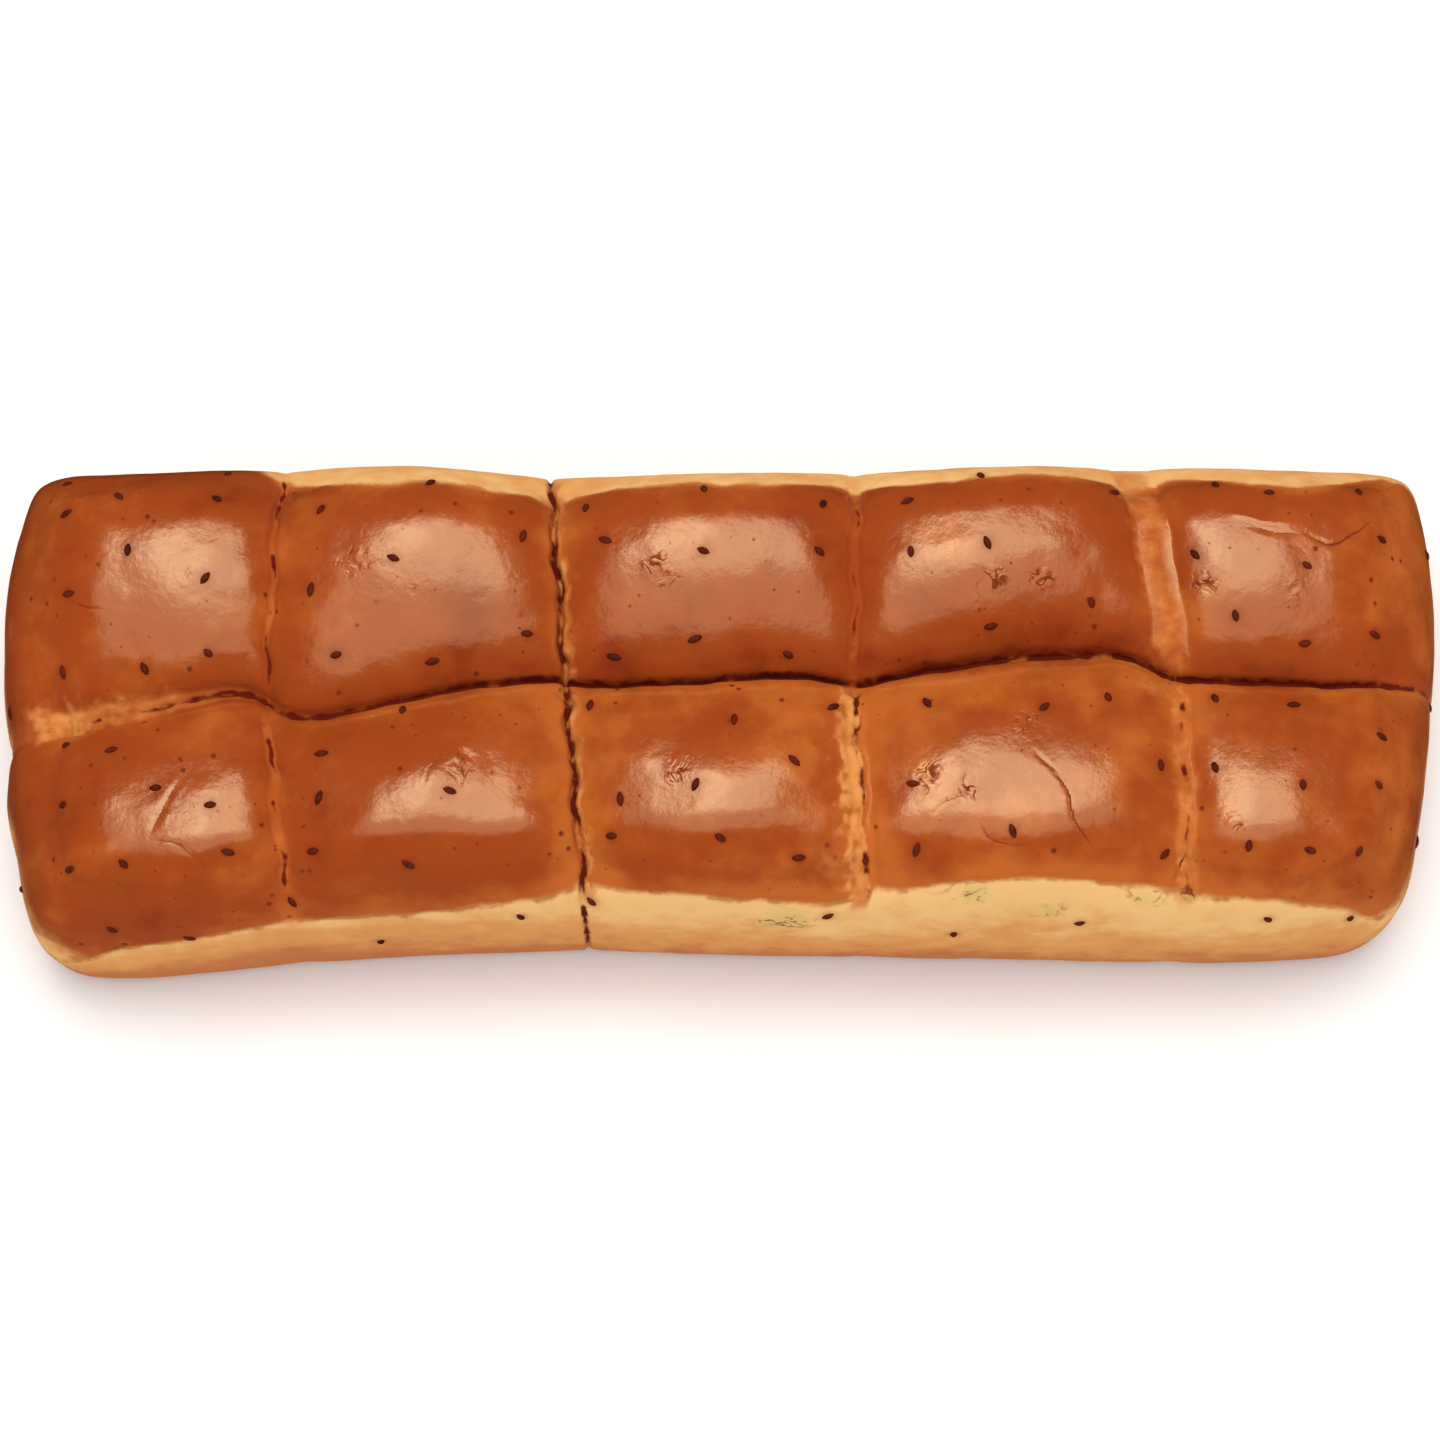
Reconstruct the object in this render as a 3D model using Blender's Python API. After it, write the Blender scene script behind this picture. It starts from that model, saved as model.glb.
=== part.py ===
"""Mosbolletjie loaf: ten aniseed buns baked touching, two rows of five, as one solid.

Metres, +Z up, flat base on Z = 0. The long side lies along X and the front faces -Y.
The loaf starts as a plain box with cuts across it. Each point of the box's skin is then
moved to the rounded loaf: shoulders, the valleys between the buns, and a bend in plan.
"""
import math
import random

import bmesh
import bpy
import numpy as np
from mathutils import Matrix, Vector
from mathutils.bvhtree import BVHTree

NAME = "mosbolletjie_loaf"

# Size of the box the loaf starts from.
LENGTH = 0.3130
WIDTH = 0.0995
HEIGHT = 0.0610

# Rounding of the box: how far in from the ends and the long sides, and down from the top.
# A squareness of 2 is an ellipse, and higher ones keep more of the corner.
END_ROUND = 0.026
SIDE_ROUND = 0.019
TOP_ROUND = 0.027
FOOT_ROUND = 0.005
SQUARENESS = 2.35
PLAN_SQUARENESS = 4.6

# The side walls swell a little between base and shoulder, the ends more.
SIDE_SWELL = 0.0012
END_SWELL = 0.0022

# Seams between the five columns of buns, and how far each leans from its place
# at the back edge, at the row seam and at the front edge.
SEAM_X = (-0.0960, -0.0330, 0.0290, 0.0960)
SEAM_LEAN_BACK = (0.0010, -0.0040, 0.0005, -0.0065)
SEAM_LEAN_MIDDLE = (-0.0005, 0.0000, -0.0005, 0.0015)
SEAM_LEAN_FRONT = (0.0055, 0.0045, 0.0020, 0.0025)

# Plan lines of the back edge and the front edge: distance toward the back from straight,
# at the two ends, the four seams and the five bun middles.
LINE_X = (-0.156, -0.126, -0.096, -0.0645, -0.033, -0.002, 0.029, 0.0625, 0.096, 0.126, 0.156)
BACK_LINE = (0.0040, 0.0028, 0.0024, 0.0014, 0.0000, -0.0008, 0.0006, 0.0012, 0.0022, 0.0030,
             0.0044)
FRONT_LINE = (-0.0060, -0.0046, -0.0020, 0.0, 0.0006, 0.0, -0.0008, -0.0010, -0.0020, -0.0014,
              0.0)

# The seam between the rows wanders more, and jumps where two buns meet two others.
ROW_X = (-0.156, -0.133, -0.114, -0.0995, -0.091, -0.0785, -0.0636, -0.051, -0.036, -0.025,
         -0.004, 0.0176, 0.0285, 0.043, 0.060, 0.072, 0.086, 0.0965, 0.112, 0.130, 0.156)
ROW_LINE = (-0.0110, -0.0092, -0.0058, -0.0038, -0.0085, -0.0080, -0.0046, -0.0023, -0.0007,
            -0.0018, -0.0013, 0.0001, -0.0013, 0.0010, 0.0038, 0.0049, 0.0045, 0.0002, -0.0010,
            -0.0017, 0.0000)

# How far the two ends draw in, from the front edge to the back edge.
END_SIDE = (-1.0, -0.75, -0.50, -0.25, 0.0, 0.3, 0.6, 0.8, 1.0)
LEFT_DRAW = (0.0112, 0.0072, 0.0046, 0.0014, 0.0003, -0.0005, 0.0002, 0.0024, 0.0042)
RIGHT_DRAW = (0.0120, 0.0076, 0.0052, 0.0027, 0.0004, -0.0005, 0.0002, 0.0014, 0.0022)
END_START = 0.100

# Valleys between buns, for the back row and the front row: depth, half width of the flat
# torn strip along the bottom, and depth of the open crack in it.
COLUMN_DEPTH_BACK = (0.0062, 0.0078, 0.0058, 0.0056)
COLUMN_DEPTH_FRONT = (0.0056, 0.0072, 0.0052, 0.0054)
COLUMN_FLAT_BACK = (0.0008, 0.0004, 0.0010, 0.0040)
COLUMN_FLAT_FRONT = (0.0012, 0.0006, 0.0022, 0.0022)
COLUMN_CRACK_BACK = (0.0008, 0.0045, 0.0005, 0.0000)
COLUMN_CRACK_FRONT = (0.0005, 0.0040, 0.0014, 0.0008)
COLUMN_REACH = 0.0240

# The same for the seam between the rows, at the places of LINE_X.
ROW_DEPTH = (0.0085, 0.0085, 0.0095, 0.0100, 0.0110, 0.0110, 0.0115, 0.0110, 0.0105,
             0.0095, 0.0050)
ROW_FLAT = (0.0022, 0.0022, 0.0010, 0.0005, 0.0004, 0.0004, 0.0004, 0.0008, 0.0006,
            0.0004, 0.0004)
ROW_CRACK = (0.0006, 0.0012, 0.0018, 0.0018, 0.0030, 0.0028, 0.0034, 0.0030, 0.0024,
             0.0022, 0.0010)
ROW_REACH = 0.0255

VALLEY_SQUARENESS = 2.1
CRACK_HALF_WIDTH = 0.0008
WALL_FADE_COLUMNS = 0.08
WALL_FADE_ROW = 0.28

# Height of each bun's crown against the tallest, back row and front row.
CROWN_BACK = (-0.0022, -0.0004, 0.0000, -0.0004, -0.0014)
CROWN_FRONT = (-0.0026, -0.0008, -0.0002, -0.0006, -0.0018)
END_FALL = 0.0045
END_FALL_START = 0.096

# Places of the cuts, as distances out from a seam, then up the wall.
SEAM_CUTS = (0.0008, 0.0024, 0.0052, 0.0094, 0.0150, 0.0225)
END_BUN_CUT = 0.1245
END_CUTS = 5
SIDE_CUTS = 4
WALL_CUTS = (0.0012, 0.0050, 0.0140, 0.0240)

# Aniseed: half sizes, number of cells each bun and wall is shared into, share left empty.
SEED_HALF_LENGTH = (0.00125, 0.00175)
SEED_HALF_WIDTH = 0.00080
SEED_HALF_HEIGHT = 0.00075
SEED_CELLS = (3, 3)
SEED_WALL_CELLS = {"front": 13, "back": 11, "end": 3}
SEED_EMPTY = 0.08
SEED_DRAW = 7
SEED_RINGS = 4
SEED_SEGMENTS = 6


def smoothstep(low, high, value):
    """0 below low, 1 above high, an even S curve between."""
    t = np.clip((value - low) / (high - low), 0.0, 1.0)
    return t * t * (3.0 - 2.0 * t)


def through(x, places, values):
    """A smooth line through the values at the places, level beyond the last ones."""
    places = np.asarray(places, float)
    values = np.asarray(values, float)
    slope = np.gradient(values, places)
    x = np.clip(x, places[0], places[-1])
    k = np.clip(np.searchsorted(places, x) - 1, 0, len(places) - 2)
    span = places[k + 1] - places[k]
    t = (x - places[k]) / span
    start = values[k] * (1 + 2 * t) * (1 - t) ** 2 + slope[k] * span * t * (1 - t) ** 2
    end = values[k + 1] * t * t * (3 - 2 * t) + slope[k + 1] * span * t * t * (t - 1)
    return start + end


def valley(distance, reach):
    """Share of a valley's depth at a distance from its bottom: steep there, level at reach."""
    s = np.clip(1.0 - distance / reach, 0.0, 1.0)
    return 1.0 - (1.0 - s ** VALLEY_SQUARENESS) ** (1.0 / VALLEY_SQUARENESS)


def seam_drop(u, v, w):
    """How far the skin lies below a plain rounded box at the seams between the buns."""
    back = smoothstep(-0.006, 0.006, v)
    high = smoothstep(0.45 * HEIGHT, HEIGHT, w) ** 2
    fade = WALL_FADE_COLUMNS + (1.0 - WALL_FADE_COLUMNS) * high
    fade_row = WALL_FADE_ROW + (1.0 - WALL_FADE_ROW) * high
    deep = np.zeros_like(u)
    crack = np.zeros_like(u)
    for k, x in enumerate(SEAM_X):
        depth = COLUMN_DEPTH_FRONT[k] + (COLUMN_DEPTH_BACK[k] - COLUMN_DEPTH_FRONT[k]) * back
        flat = COLUMN_FLAT_FRONT[k] + (COLUMN_FLAT_BACK[k] - COLUMN_FLAT_FRONT[k]) * back
        open_ = COLUMN_CRACK_FRONT[k] + (COLUMN_CRACK_BACK[k] - COLUMN_CRACK_FRONT[k]) * back
        away = np.abs(u - x)
        deep += (fade * depth * valley(np.maximum(away - flat, 0.0), COLUMN_REACH)) ** 2
        open_ = open_ * np.clip(1.0 - away / CRACK_HALF_WIDTH, 0.0, 1.0)
        crack = np.maximum(crack, open_ * fade)
    away = np.abs(v)
    flat = through(u, LINE_X, ROW_FLAT)
    depth = through(u, LINE_X, ROW_DEPTH)
    deep += (fade_row * depth * valley(np.maximum(away - flat, 0.0), ROW_REACH)) ** 2
    open_ = through(u, LINE_X, ROW_CRACK) * np.clip(1.0 - away / CRACK_HALF_WIDTH, 0.0, 1.0)
    crack = np.maximum(crack, open_ * fade_row)
    return np.sqrt(deep) + crack


def crown_fall(u, v, w):
    """Lower crowns of some buns, and the slope of the end buns down to the ends."""
    middles = [LINE_X[k] for k in (1, 3, 5, 7, 9)]
    back = smoothstep(-0.012, 0.012, v)
    front_fall = -through(u, middles, CROWN_FRONT)
    fall = front_fall + (-through(u, middles, CROWN_BACK) - front_fall) * back
    fall += END_FALL * smoothstep(END_FALL_START, LENGTH / 2, np.abs(u)) ** 1.4
    lumps = np.sin(83.0 * u + 1.1) * np.sin(97.0 * v + 0.7) + 0.6 * np.sin(171.0 * u - 140.0 * v)
    fall += 0.00035 * lumps
    return fall * smoothstep(0.15 * HEIGHT, HEIGHT, w)


def bend_in_plan(x, y):
    """Lean of the seams, wander of the edges and row seam, and the rounder ends."""
    side = np.clip(y / (WIDTH / 2), -1.0, 1.0)
    to_back = np.maximum(side, 0.0)
    to_front = np.maximum(-side, 0.0)
    ends = (-LENGTH / 2, *SEAM_X, LENGTH / 2)
    lean = [through(x, ends, (0.0, *row, 0.0))
            for row in (SEAM_LEAN_BACK, SEAM_LEAN_MIDDLE, SEAM_LEAN_FRONT)]
    line = [through(x, places, row) for places, row in
            ((LINE_X, BACK_LINE), (ROW_X, ROW_LINE), (LINE_X, FRONT_LINE))]
    shares = (to_back, 1.0 - to_back - to_front, to_front)
    new_x = x + sum(a * b for a, b in zip(lean, shares))
    new_y = y + sum(a * b for a, b in zip(line, shares))
    near_end = smoothstep(END_START, LENGTH / 2, np.abs(x))
    draw = np.where(x < 0.0, through(side, END_SIDE, LEFT_DRAW),
                    -through(side, END_SIDE, RIGHT_DRAW))
    return new_x + draw * near_end, new_y


def loaf_points(u, v, w):
    """Where points of the plain box's skin lie on the finished loaf."""
    inner = (LENGTH / 2 - END_ROUND, WIDTH / 2 - SIDE_ROUND)
    qx = np.clip(u, -inner[0], inner[0])
    qy = np.clip(v, -inner[1], inner[1])
    qz = np.minimum(w, HEIGHT - TOP_ROUND)
    ox, oy, oz = (u - qx) / END_ROUND, (v - qy) / SIDE_ROUND, (w - qz) / TOP_ROUND
    most = np.maximum(np.maximum(np.abs(ox), np.abs(oy)), np.abs(oz))
    p, q = SQUARENESS, PLAN_SQUARENESS
    flat = (np.abs(ox) ** q + np.abs(oy) ** q) ** (1.0 / q)
    norm = np.maximum((flat ** p + np.abs(oz) ** p) ** (1.0 / p), 1e-9)
    ox, oy, oz, flat = (value * most / norm for value in (ox, oy, oz, flat))
    x, y, z = qx + ox * END_ROUND, qy + oy * SIDE_ROUND, qz + oz * TOP_ROUND
    share = np.maximum(flat, 1e-6) ** (p - q)
    nx = share * np.sign(ox) * np.abs(ox) ** (q - 1) / END_ROUND
    ny = share * np.sign(oy) * np.abs(oy) ** (q - 1) / SIDE_ROUND
    nz = np.abs(oz) ** (p - 1) / TOP_ROUND
    size = np.maximum(np.sqrt(nx * nx + ny * ny + nz * nz), 1e-9)
    nx, ny, nz = nx / size, ny / size, nz / size
    belly = np.sin(math.pi * np.clip(w / (HEIGHT - 0.35 * TOP_ROUND), 0.0, 1.0))
    swell = belly * (SIDE_SWELL * np.abs(ny) + END_SWELL * np.abs(nx))
    tuck = np.clip(1.0 - w / FOOT_ROUND, 0.0, 1.0)
    foot = FOOT_ROUND * (1.0 - np.sqrt(1.0 - tuck ** 2))
    out = swell - foot - seam_drop(u, v, w) - crown_fall(u, v, w)
    out = np.where(w <= 0.0, -foot * np.hypot(nx, ny), out)
    x, y, z = x + nx * out, y + ny * out, z + nz * out
    x, y = bend_in_plan(x, y)
    return np.stack([x, y, np.where(w <= 0.0, 0.0, z)], axis=1)


def tangent_cuts(radius, count):
    """Offsets across a shoulder that give even angles once it is rounded."""
    return [radius * math.tan(math.pi / 4 * k / count) for k in range(count)]


def lattice():
    """Places of the cuts along X, Y and Z."""
    beside = [0.0, *SEAM_CUTS, *(-cut for cut in SEAM_CUTS)]
    end_cuts = [LENGTH / 2 - END_ROUND + cut for cut in tangent_cuts(END_ROUND, END_CUTS)]
    side_cuts = [WIDTH / 2 - SIDE_ROUND + cut for cut in tangent_cuts(SIDE_ROUND, SIDE_CUTS)]
    top_cuts = [HEIGHT - TOP_ROUND + cut for cut in tangent_cuts(TOP_ROUND, END_CUTS)]
    xs = {seam + cut for seam in SEAM_X for cut in beside}
    xs.update((left + right) / 2 for left, right in zip(SEAM_X, SEAM_X[1:]))
    xs.update(sign * cut for sign in (-1, 1) for cut in (END_BUN_CUT, *end_cuts))
    ys = set(beside)
    ys.update(sign * cut for sign in (-1, 1) for cut in side_cuts)
    return sorted(xs), sorted(ys), sorted({*WALL_CUTS, *top_cuts})


def cut_box():
    """The plain box, cut across at every place of the lattice."""
    bm = bmesh.new()
    middle = Matrix.Translation((0.0, 0.0, HEIGHT / 2))
    size = Matrix.Diagonal((LENGTH, WIDTH, HEIGHT, 1.0))
    bmesh.ops.create_cube(bm, size=1.0, matrix=middle @ size)
    for axis, places in enumerate(lattice()):
        normal = Vector((0.0, 0.0, 0.0))
        normal[axis] = 1.0
        for place in places:
            geom = list(bm.verts) + list(bm.edges) + list(bm.faces)
            bmesh.ops.bisect_plane(bm, geom=geom, dist=1e-6, plane_co=normal * place,
                                   plane_no=normal)
    return bm


def clear_base(bm):
    """One flat face in place of the cut ones underneath."""
    under = [f for f in bm.faces if all(v.co.z < 1e-7 for v in f.verts)]
    bmesh.ops.dissolve_faces(bm, faces=under, use_verts=False)


def shape_loaf(bm):
    """Move every point of the box's skin to its place on the loaf."""
    verts = list(bm.verts)
    skin = np.array([v.co[:] for v in verts])
    placed = loaf_points(*skin.T)
    middle = (placed.min(axis=0) + placed.max(axis=0)) / 2
    placed[:, 0] -= middle[0]
    placed[:, 1] -= middle[1]
    for vert, point in zip(verts, placed):
        vert.co = point
    bmesh.ops.recalc_face_normals(bm, faces=bm.faces)
    return middle


def seed_spots():
    """Places of the aniseed on the box's skin with a turn and a half length for each."""
    draw = random.Random(SEED_DRAW)
    spots = []

    def add(u, v, w):
        turn, half = draw.uniform(0.0, math.pi), draw.uniform(*SEED_HALF_LENGTH)
        if draw.random() >= SEED_EMPTY:
            spots.append((u, v, w, turn, half))

    edges = (-LENGTH / 2, *SEAM_X, LENGTH / 2)
    across, deep = SEED_CELLS
    for left, right in zip(edges, edges[1:]):
        for side in (-1, 1):
            for a in range(across):
                for b in range(deep):
                    share_x = (a + draw.uniform(0.22, 0.78)) / across
                    share_y = (b + draw.uniform(0.22, 0.78)) / deep
                    add(left + (right - left) * share_x, side * WIDTH / 2 * share_y, HEIGHT)
    for wall, side in (("front", -1), ("back", 1)):
        count = SEED_WALL_CELLS[wall]
        for k in range(count):
            u = LENGTH * ((k + draw.uniform(0.2, 0.8)) / count - 0.5)
            add(u, side * WIDTH / 2, draw.uniform(0.30, 0.80) * HEIGHT)
    for side in (-1, 1):
        count = SEED_WALL_CELLS["end"]
        for k in range(count):
            v = WIDTH * ((k + draw.uniform(0.25, 0.75)) / count - 0.5)
            add(side * LENGTH / 2, v, draw.uniform(0.35, 0.75) * HEIGHT)
    return spots


def make_seeds(bm_loaf, middle, collection):
    """One small oval for each aniseed, half sunk in the crust and lying along it."""
    tree = BVHTree.FromBMesh(bm_loaf)
    for number, (u, v, w, turn, half) in enumerate(seed_spots()):
        point = loaf_points(np.array([u]), np.array([v]), np.array([w]))[0] - middle * (1, 1, 0)
        spot, normal, _, _ = tree.find_nearest(Vector(point))
        lie = normal.to_track_quat("Z", "Y").to_matrix().to_4x4()
        size = Matrix.Diagonal((half, SEED_HALF_WIDTH, SEED_HALF_HEIGHT, 1.0))
        place = Matrix.Translation(spot) @ lie @ Matrix.Rotation(turn, 4, "Z") @ size
        bm = bmesh.new()
        bmesh.ops.create_uvsphere(bm, u_segments=SEED_SEGMENTS, v_segments=SEED_RINGS,
                                  radius=1.0, matrix=place)
        mesh = bpy.data.meshes.new(f"aniseed_{number}")
        bm.to_mesh(mesh)
        bm.free()
        seed = bpy.data.objects.new(f"aniseed_{number}", mesh)
        seed.hide_render = True
        seed.display_type = "WIRE"
        collection.objects.link(seed)


def fuse(loaf, collection):
    """Join the aniseed to the loaf as one skin and drop the loose ovals."""
    join = loaf.modifiers.new("aniseed", "BOOLEAN")
    join.operation = "UNION"
    join.operand_type = "COLLECTION"
    join.collection = collection
    join.solver = "EXACT"
    graph = bpy.context.evaluated_depsgraph_get()
    joined = bpy.data.meshes.new_from_object(loaf.evaluated_get(graph))
    loaf.modifiers.remove(join)
    loaf.data = joined
    joined.name = NAME
    for seed in list(collection.objects):
        bpy.data.objects.remove(seed)
    bpy.data.collections.remove(collection)


def crust_material():
    """Baked, glazed crust."""
    material = bpy.data.materials.new("crust")
    material.use_nodes = True
    shader = material.node_tree.nodes["Principled BSDF"]
    shader.inputs["Base Color"].default_value = (0.376, 0.070, 0.014, 1.0)
    shader.inputs["Roughness"].default_value = 0.35
    return material


def main():
    for obj in list(bpy.data.objects):
        bpy.data.objects.remove(obj)
    home = bpy.data.collections.new("mosbolletjie")
    bpy.context.scene.collection.children.link(home)
    toppings = bpy.data.collections.new("aniseed")
    bpy.context.scene.collection.children.link(toppings)

    bm = cut_box()
    clear_base(bm)
    middle = shape_loaf(bm)
    mesh = bpy.data.meshes.new(NAME)
    bm.to_mesh(mesh)
    loaf = bpy.data.objects.new(NAME, mesh)
    home.objects.link(loaf)
    make_seeds(bm, middle, toppings)
    bm.free()
    fuse(loaf, toppings)
    loaf.data.materials.clear()
    loaf.data.materials.append(crust_material())
    loaf.data.shade_smooth()


main()
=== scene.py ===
"""Looks of a mosbolletjie loaf: glazed crust, torn seams, pale sides and aniseed.

Ten aniseed buns baked touching in two rows of five. The file is laid out as an add-on, with
settings, one operator for each piece, a panel and a main function. Metres, +Z up, in the
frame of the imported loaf: the long side along X, the front toward -Y, the base on Z = 0.
"""
import math
import random
from types import SimpleNamespace

import bmesh
import bpy
import numpy as np
from bpy.props import FloatProperty, FloatVectorProperty, IntProperty, PointerProperty
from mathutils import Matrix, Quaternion, Vector, noise
from mathutils.bvhtree import BVHTree


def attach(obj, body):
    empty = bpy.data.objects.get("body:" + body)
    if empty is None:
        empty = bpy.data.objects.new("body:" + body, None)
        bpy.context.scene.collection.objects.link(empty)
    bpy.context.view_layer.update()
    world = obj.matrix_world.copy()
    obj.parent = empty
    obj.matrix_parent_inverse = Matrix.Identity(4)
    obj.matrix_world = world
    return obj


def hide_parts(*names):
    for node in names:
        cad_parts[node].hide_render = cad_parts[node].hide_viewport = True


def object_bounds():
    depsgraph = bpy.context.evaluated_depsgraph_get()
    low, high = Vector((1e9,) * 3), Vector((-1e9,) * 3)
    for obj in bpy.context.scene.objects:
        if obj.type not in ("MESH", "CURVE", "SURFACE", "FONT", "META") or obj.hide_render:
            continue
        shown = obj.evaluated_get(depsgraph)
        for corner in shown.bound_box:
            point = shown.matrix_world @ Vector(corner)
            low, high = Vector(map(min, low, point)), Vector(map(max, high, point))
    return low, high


bl_info = {
    "name": "Mosbolletjie loaf",
    "version": (1, 0, 0),
    "blender": (4, 5, 0),
    "location": "View3D > Sidebar > Loaf",
    "description": "Bakes a pull-apart aniseed loaf over its packed frame",
    "category": "Object",
}

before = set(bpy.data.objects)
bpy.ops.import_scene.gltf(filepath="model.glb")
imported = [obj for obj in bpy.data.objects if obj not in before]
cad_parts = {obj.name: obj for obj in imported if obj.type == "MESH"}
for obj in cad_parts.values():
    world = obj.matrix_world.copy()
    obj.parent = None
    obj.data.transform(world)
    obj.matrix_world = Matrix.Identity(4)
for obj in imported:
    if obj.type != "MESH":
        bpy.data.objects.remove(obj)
CAD_BOX = [list(corner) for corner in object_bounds()]
NODE = "mosbolletjie_loaf"
BODY = "root"
MM = 0.001

# The plain box that the loaf is shaped from, and its rounding.
LENGTH = 0.3130
WIDTH = 0.0995
HEIGHT = 0.0610
END_ROUND = 0.026
SIDE_ROUND = 0.019
TOP_ROUND = 0.027
FOOT_ROUND = 0.005
SQUARENESS = 2.35
PLAN_SQUARENESS = 4.6
SIDE_SWELL = 0.0012
END_SWELL = 0.0022

# Seams between the five columns, and their lean at the back edge, row seam and front edge.
SEAM_X = (-0.0960, -0.0330, 0.0290, 0.0960)
SEAM_LEAN_BACK = (0.0010, -0.0040, 0.0005, -0.0065)
SEAM_LEAN_MIDDLE = (-0.0005, 0.0000, -0.0005, 0.0015)
SEAM_LEAN_FRONT = (0.0055, 0.0045, 0.0020, 0.0025)

# Plan lines of the back edge and the front edge at the ends, seams and bun middles.
LINE_X = (-0.156, -0.126, -0.096, -0.0645, -0.033, -0.002, 0.029, 0.0625, 0.096, 0.126, 0.156)
BUN_MIDDLES = LINE_X[1::2]
BACK_LINE = (0.0040, 0.0028, 0.0024, 0.0014, 0.0000, -0.0008, 0.0006, 0.0012, 0.0022, 0.0030,
             0.0044)
FRONT_LINE = (-0.0060, -0.0046, -0.0020, 0.0, 0.0006, 0.0, -0.0008, -0.0010, -0.0020, -0.0014,
              0.0)

# The seam between the rows wanders, and jumps where two buns meet two others.
ROW_X = (-0.156, -0.133, -0.114, -0.0995, -0.091, -0.0785, -0.0636, -0.051, -0.036, -0.025,
         -0.004, 0.0176, 0.0285, 0.043, 0.060, 0.072, 0.086, 0.0965, 0.112, 0.130, 0.156)
ROW_LINE = (-0.0110, -0.0092, -0.0058, -0.0038, -0.0085, -0.0080, -0.0046, -0.0023, -0.0007,
            -0.0018, -0.0013, 0.0001, -0.0013, 0.0010, 0.0038, 0.0049, 0.0045, 0.0002, -0.0010,
            -0.0017, 0.0000)

# How far the two ends draw in, from the front edge to the back edge.
END_SIDE = (-1.0, -0.75, -0.50, -0.25, 0.0, 0.3, 0.6, 0.8, 1.0)
LEFT_DRAW = (0.0112, 0.0072, 0.0046, 0.0014, 0.0003, -0.0005, 0.0002, 0.0024, 0.0042)
RIGHT_DRAW = (0.0120, 0.0076, 0.0052, 0.0027, 0.0004, -0.0005, 0.0002, 0.0014, 0.0022)
END_START = 0.100

# Valleys between the buns: depth, half width of the flat strip along the bottom, depth of the
# open crack in it, and how much of that crack runs down the side walls.
COLUMN_DEPTH_BACK = (0.0062, 0.0078, 0.0058, 0.0056)
COLUMN_DEPTH_FRONT = (0.0056, 0.0072, 0.0052, 0.0054)
COLUMN_FLAT_BACK = (0.0008, 0.0004, 0.0010, 0.0040)
COLUMN_FLAT_FRONT = (0.0012, 0.0006, 0.0022, 0.0022)
COLUMN_CRACK_BACK = (0.0008, 0.0045, 0.0005, 0.0000)
COLUMN_CRACK_FRONT = (0.0005, 0.0040, 0.0014, 0.0008)
ROW_DEPTH = (0.0085, 0.0085, 0.0095, 0.0100, 0.0110, 0.0110, 0.0115, 0.0110, 0.0105,
             0.0095, 0.0050)
ROW_FLAT = (0.0022, 0.0022, 0.0010, 0.0005, 0.0004, 0.0004, 0.0004, 0.0008, 0.0006,
            0.0004, 0.0004)
ROW_CRACK = (0.0006, 0.0012, 0.0018, 0.0018, 0.0030, 0.0028, 0.0034, 0.0030, 0.0024,
             0.0022, 0.0010)
ROW_REACH = 0.0255
ROW_REACH_BACK = (0.0290, 0.0290, 0.0290, 0.0250, 0.0290)
CRACK_HALF_WIDTH = 0.0008
CRACK_DOWN_WALL = (0.0, 0.45, 0.0, 0.0)
WALL_FADE_COLUMNS = 0.08
WALL_FADE_ROW = 0.28

# The crowns are rounder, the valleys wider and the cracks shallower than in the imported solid.
# The skin lies 0.6 mm from the solid's on average, and 2.8 mm at most, beside the middle seam.
CRACK_SHARE = 0.40
CORNER_DROP = 0.0090
CROWN_SQUARENESS = 1.8
CROWN_REACH = 0.0310

# Crown heights against the tallest bun, the slope of the end buns, eased at the back left, the
# fall toward the back edge, and low lumps.
CROWN_BACK = (-0.0022, -0.0004, 0.0000, -0.0004, -0.0014)
CROWN_FRONT = (-0.0026, -0.0008, -0.0002, -0.0006, -0.0018)
END_FALL = 0.0045
END_FALL_START = 0.096
END_FALL_EASE = 0.25
SHOULDER_FALL = 0.0006
LUMP_FALL = 0.00035

# Pale torn strips along the seams: reach to the left and right of each column seam in the
# back and the front row, and how plainly each shows.
TEAR_BACK = ((0.0007, 0.0007, 0.40), (0.0008, 0.0022, 0.85), (0.0006, 0.0012, 0.35),
             (0.0048, 0.0028, 0.72))
TEAR_FRONT = ((0.0010, 0.0012, 0.42), (0.0008, 0.0024, 0.90), (0.0048, 0.0006, 1.00),
              (0.0026, 0.0022, 0.75))
# The same along the row seam at the places of LINE_X: reach toward the front and the back.
ROW_TEAR_FRONT = (0.0030, 0.0026, 0.0010, 0.0006, 0.0005, 0.0004, 0.0008, 0.0016, 0.0020,
                  0.0005, 0.0004)
ROW_TEAR_BACK = (0.0040, 0.0032, 0.0010, 0.0004, 0.0004, 0.0004, 0.0004, 0.0004, 0.0005,
                 0.0004, 0.0004)
ROW_TEAR_SHOWS = (0.85, 0.65, 0.45, 0.30, 0.20, 0.10, 0.15, 0.55, 0.70, 0.15, 0.10)

# How dark and unbroken the painted shade line at the bottom of each seam is, in the back row,
# the front row and along the row seam.
GAP_BACK = (0.36, 0.66, 0.34, 0.05)
GAP_FRONT = (0.46, 0.72, 0.50, 0.42)
GAP_ROW = (0.05, 0.30, 0.85, 0.90, 1.00, 1.00, 1.00, 1.00, 0.95, 0.95, 0.80)
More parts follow.
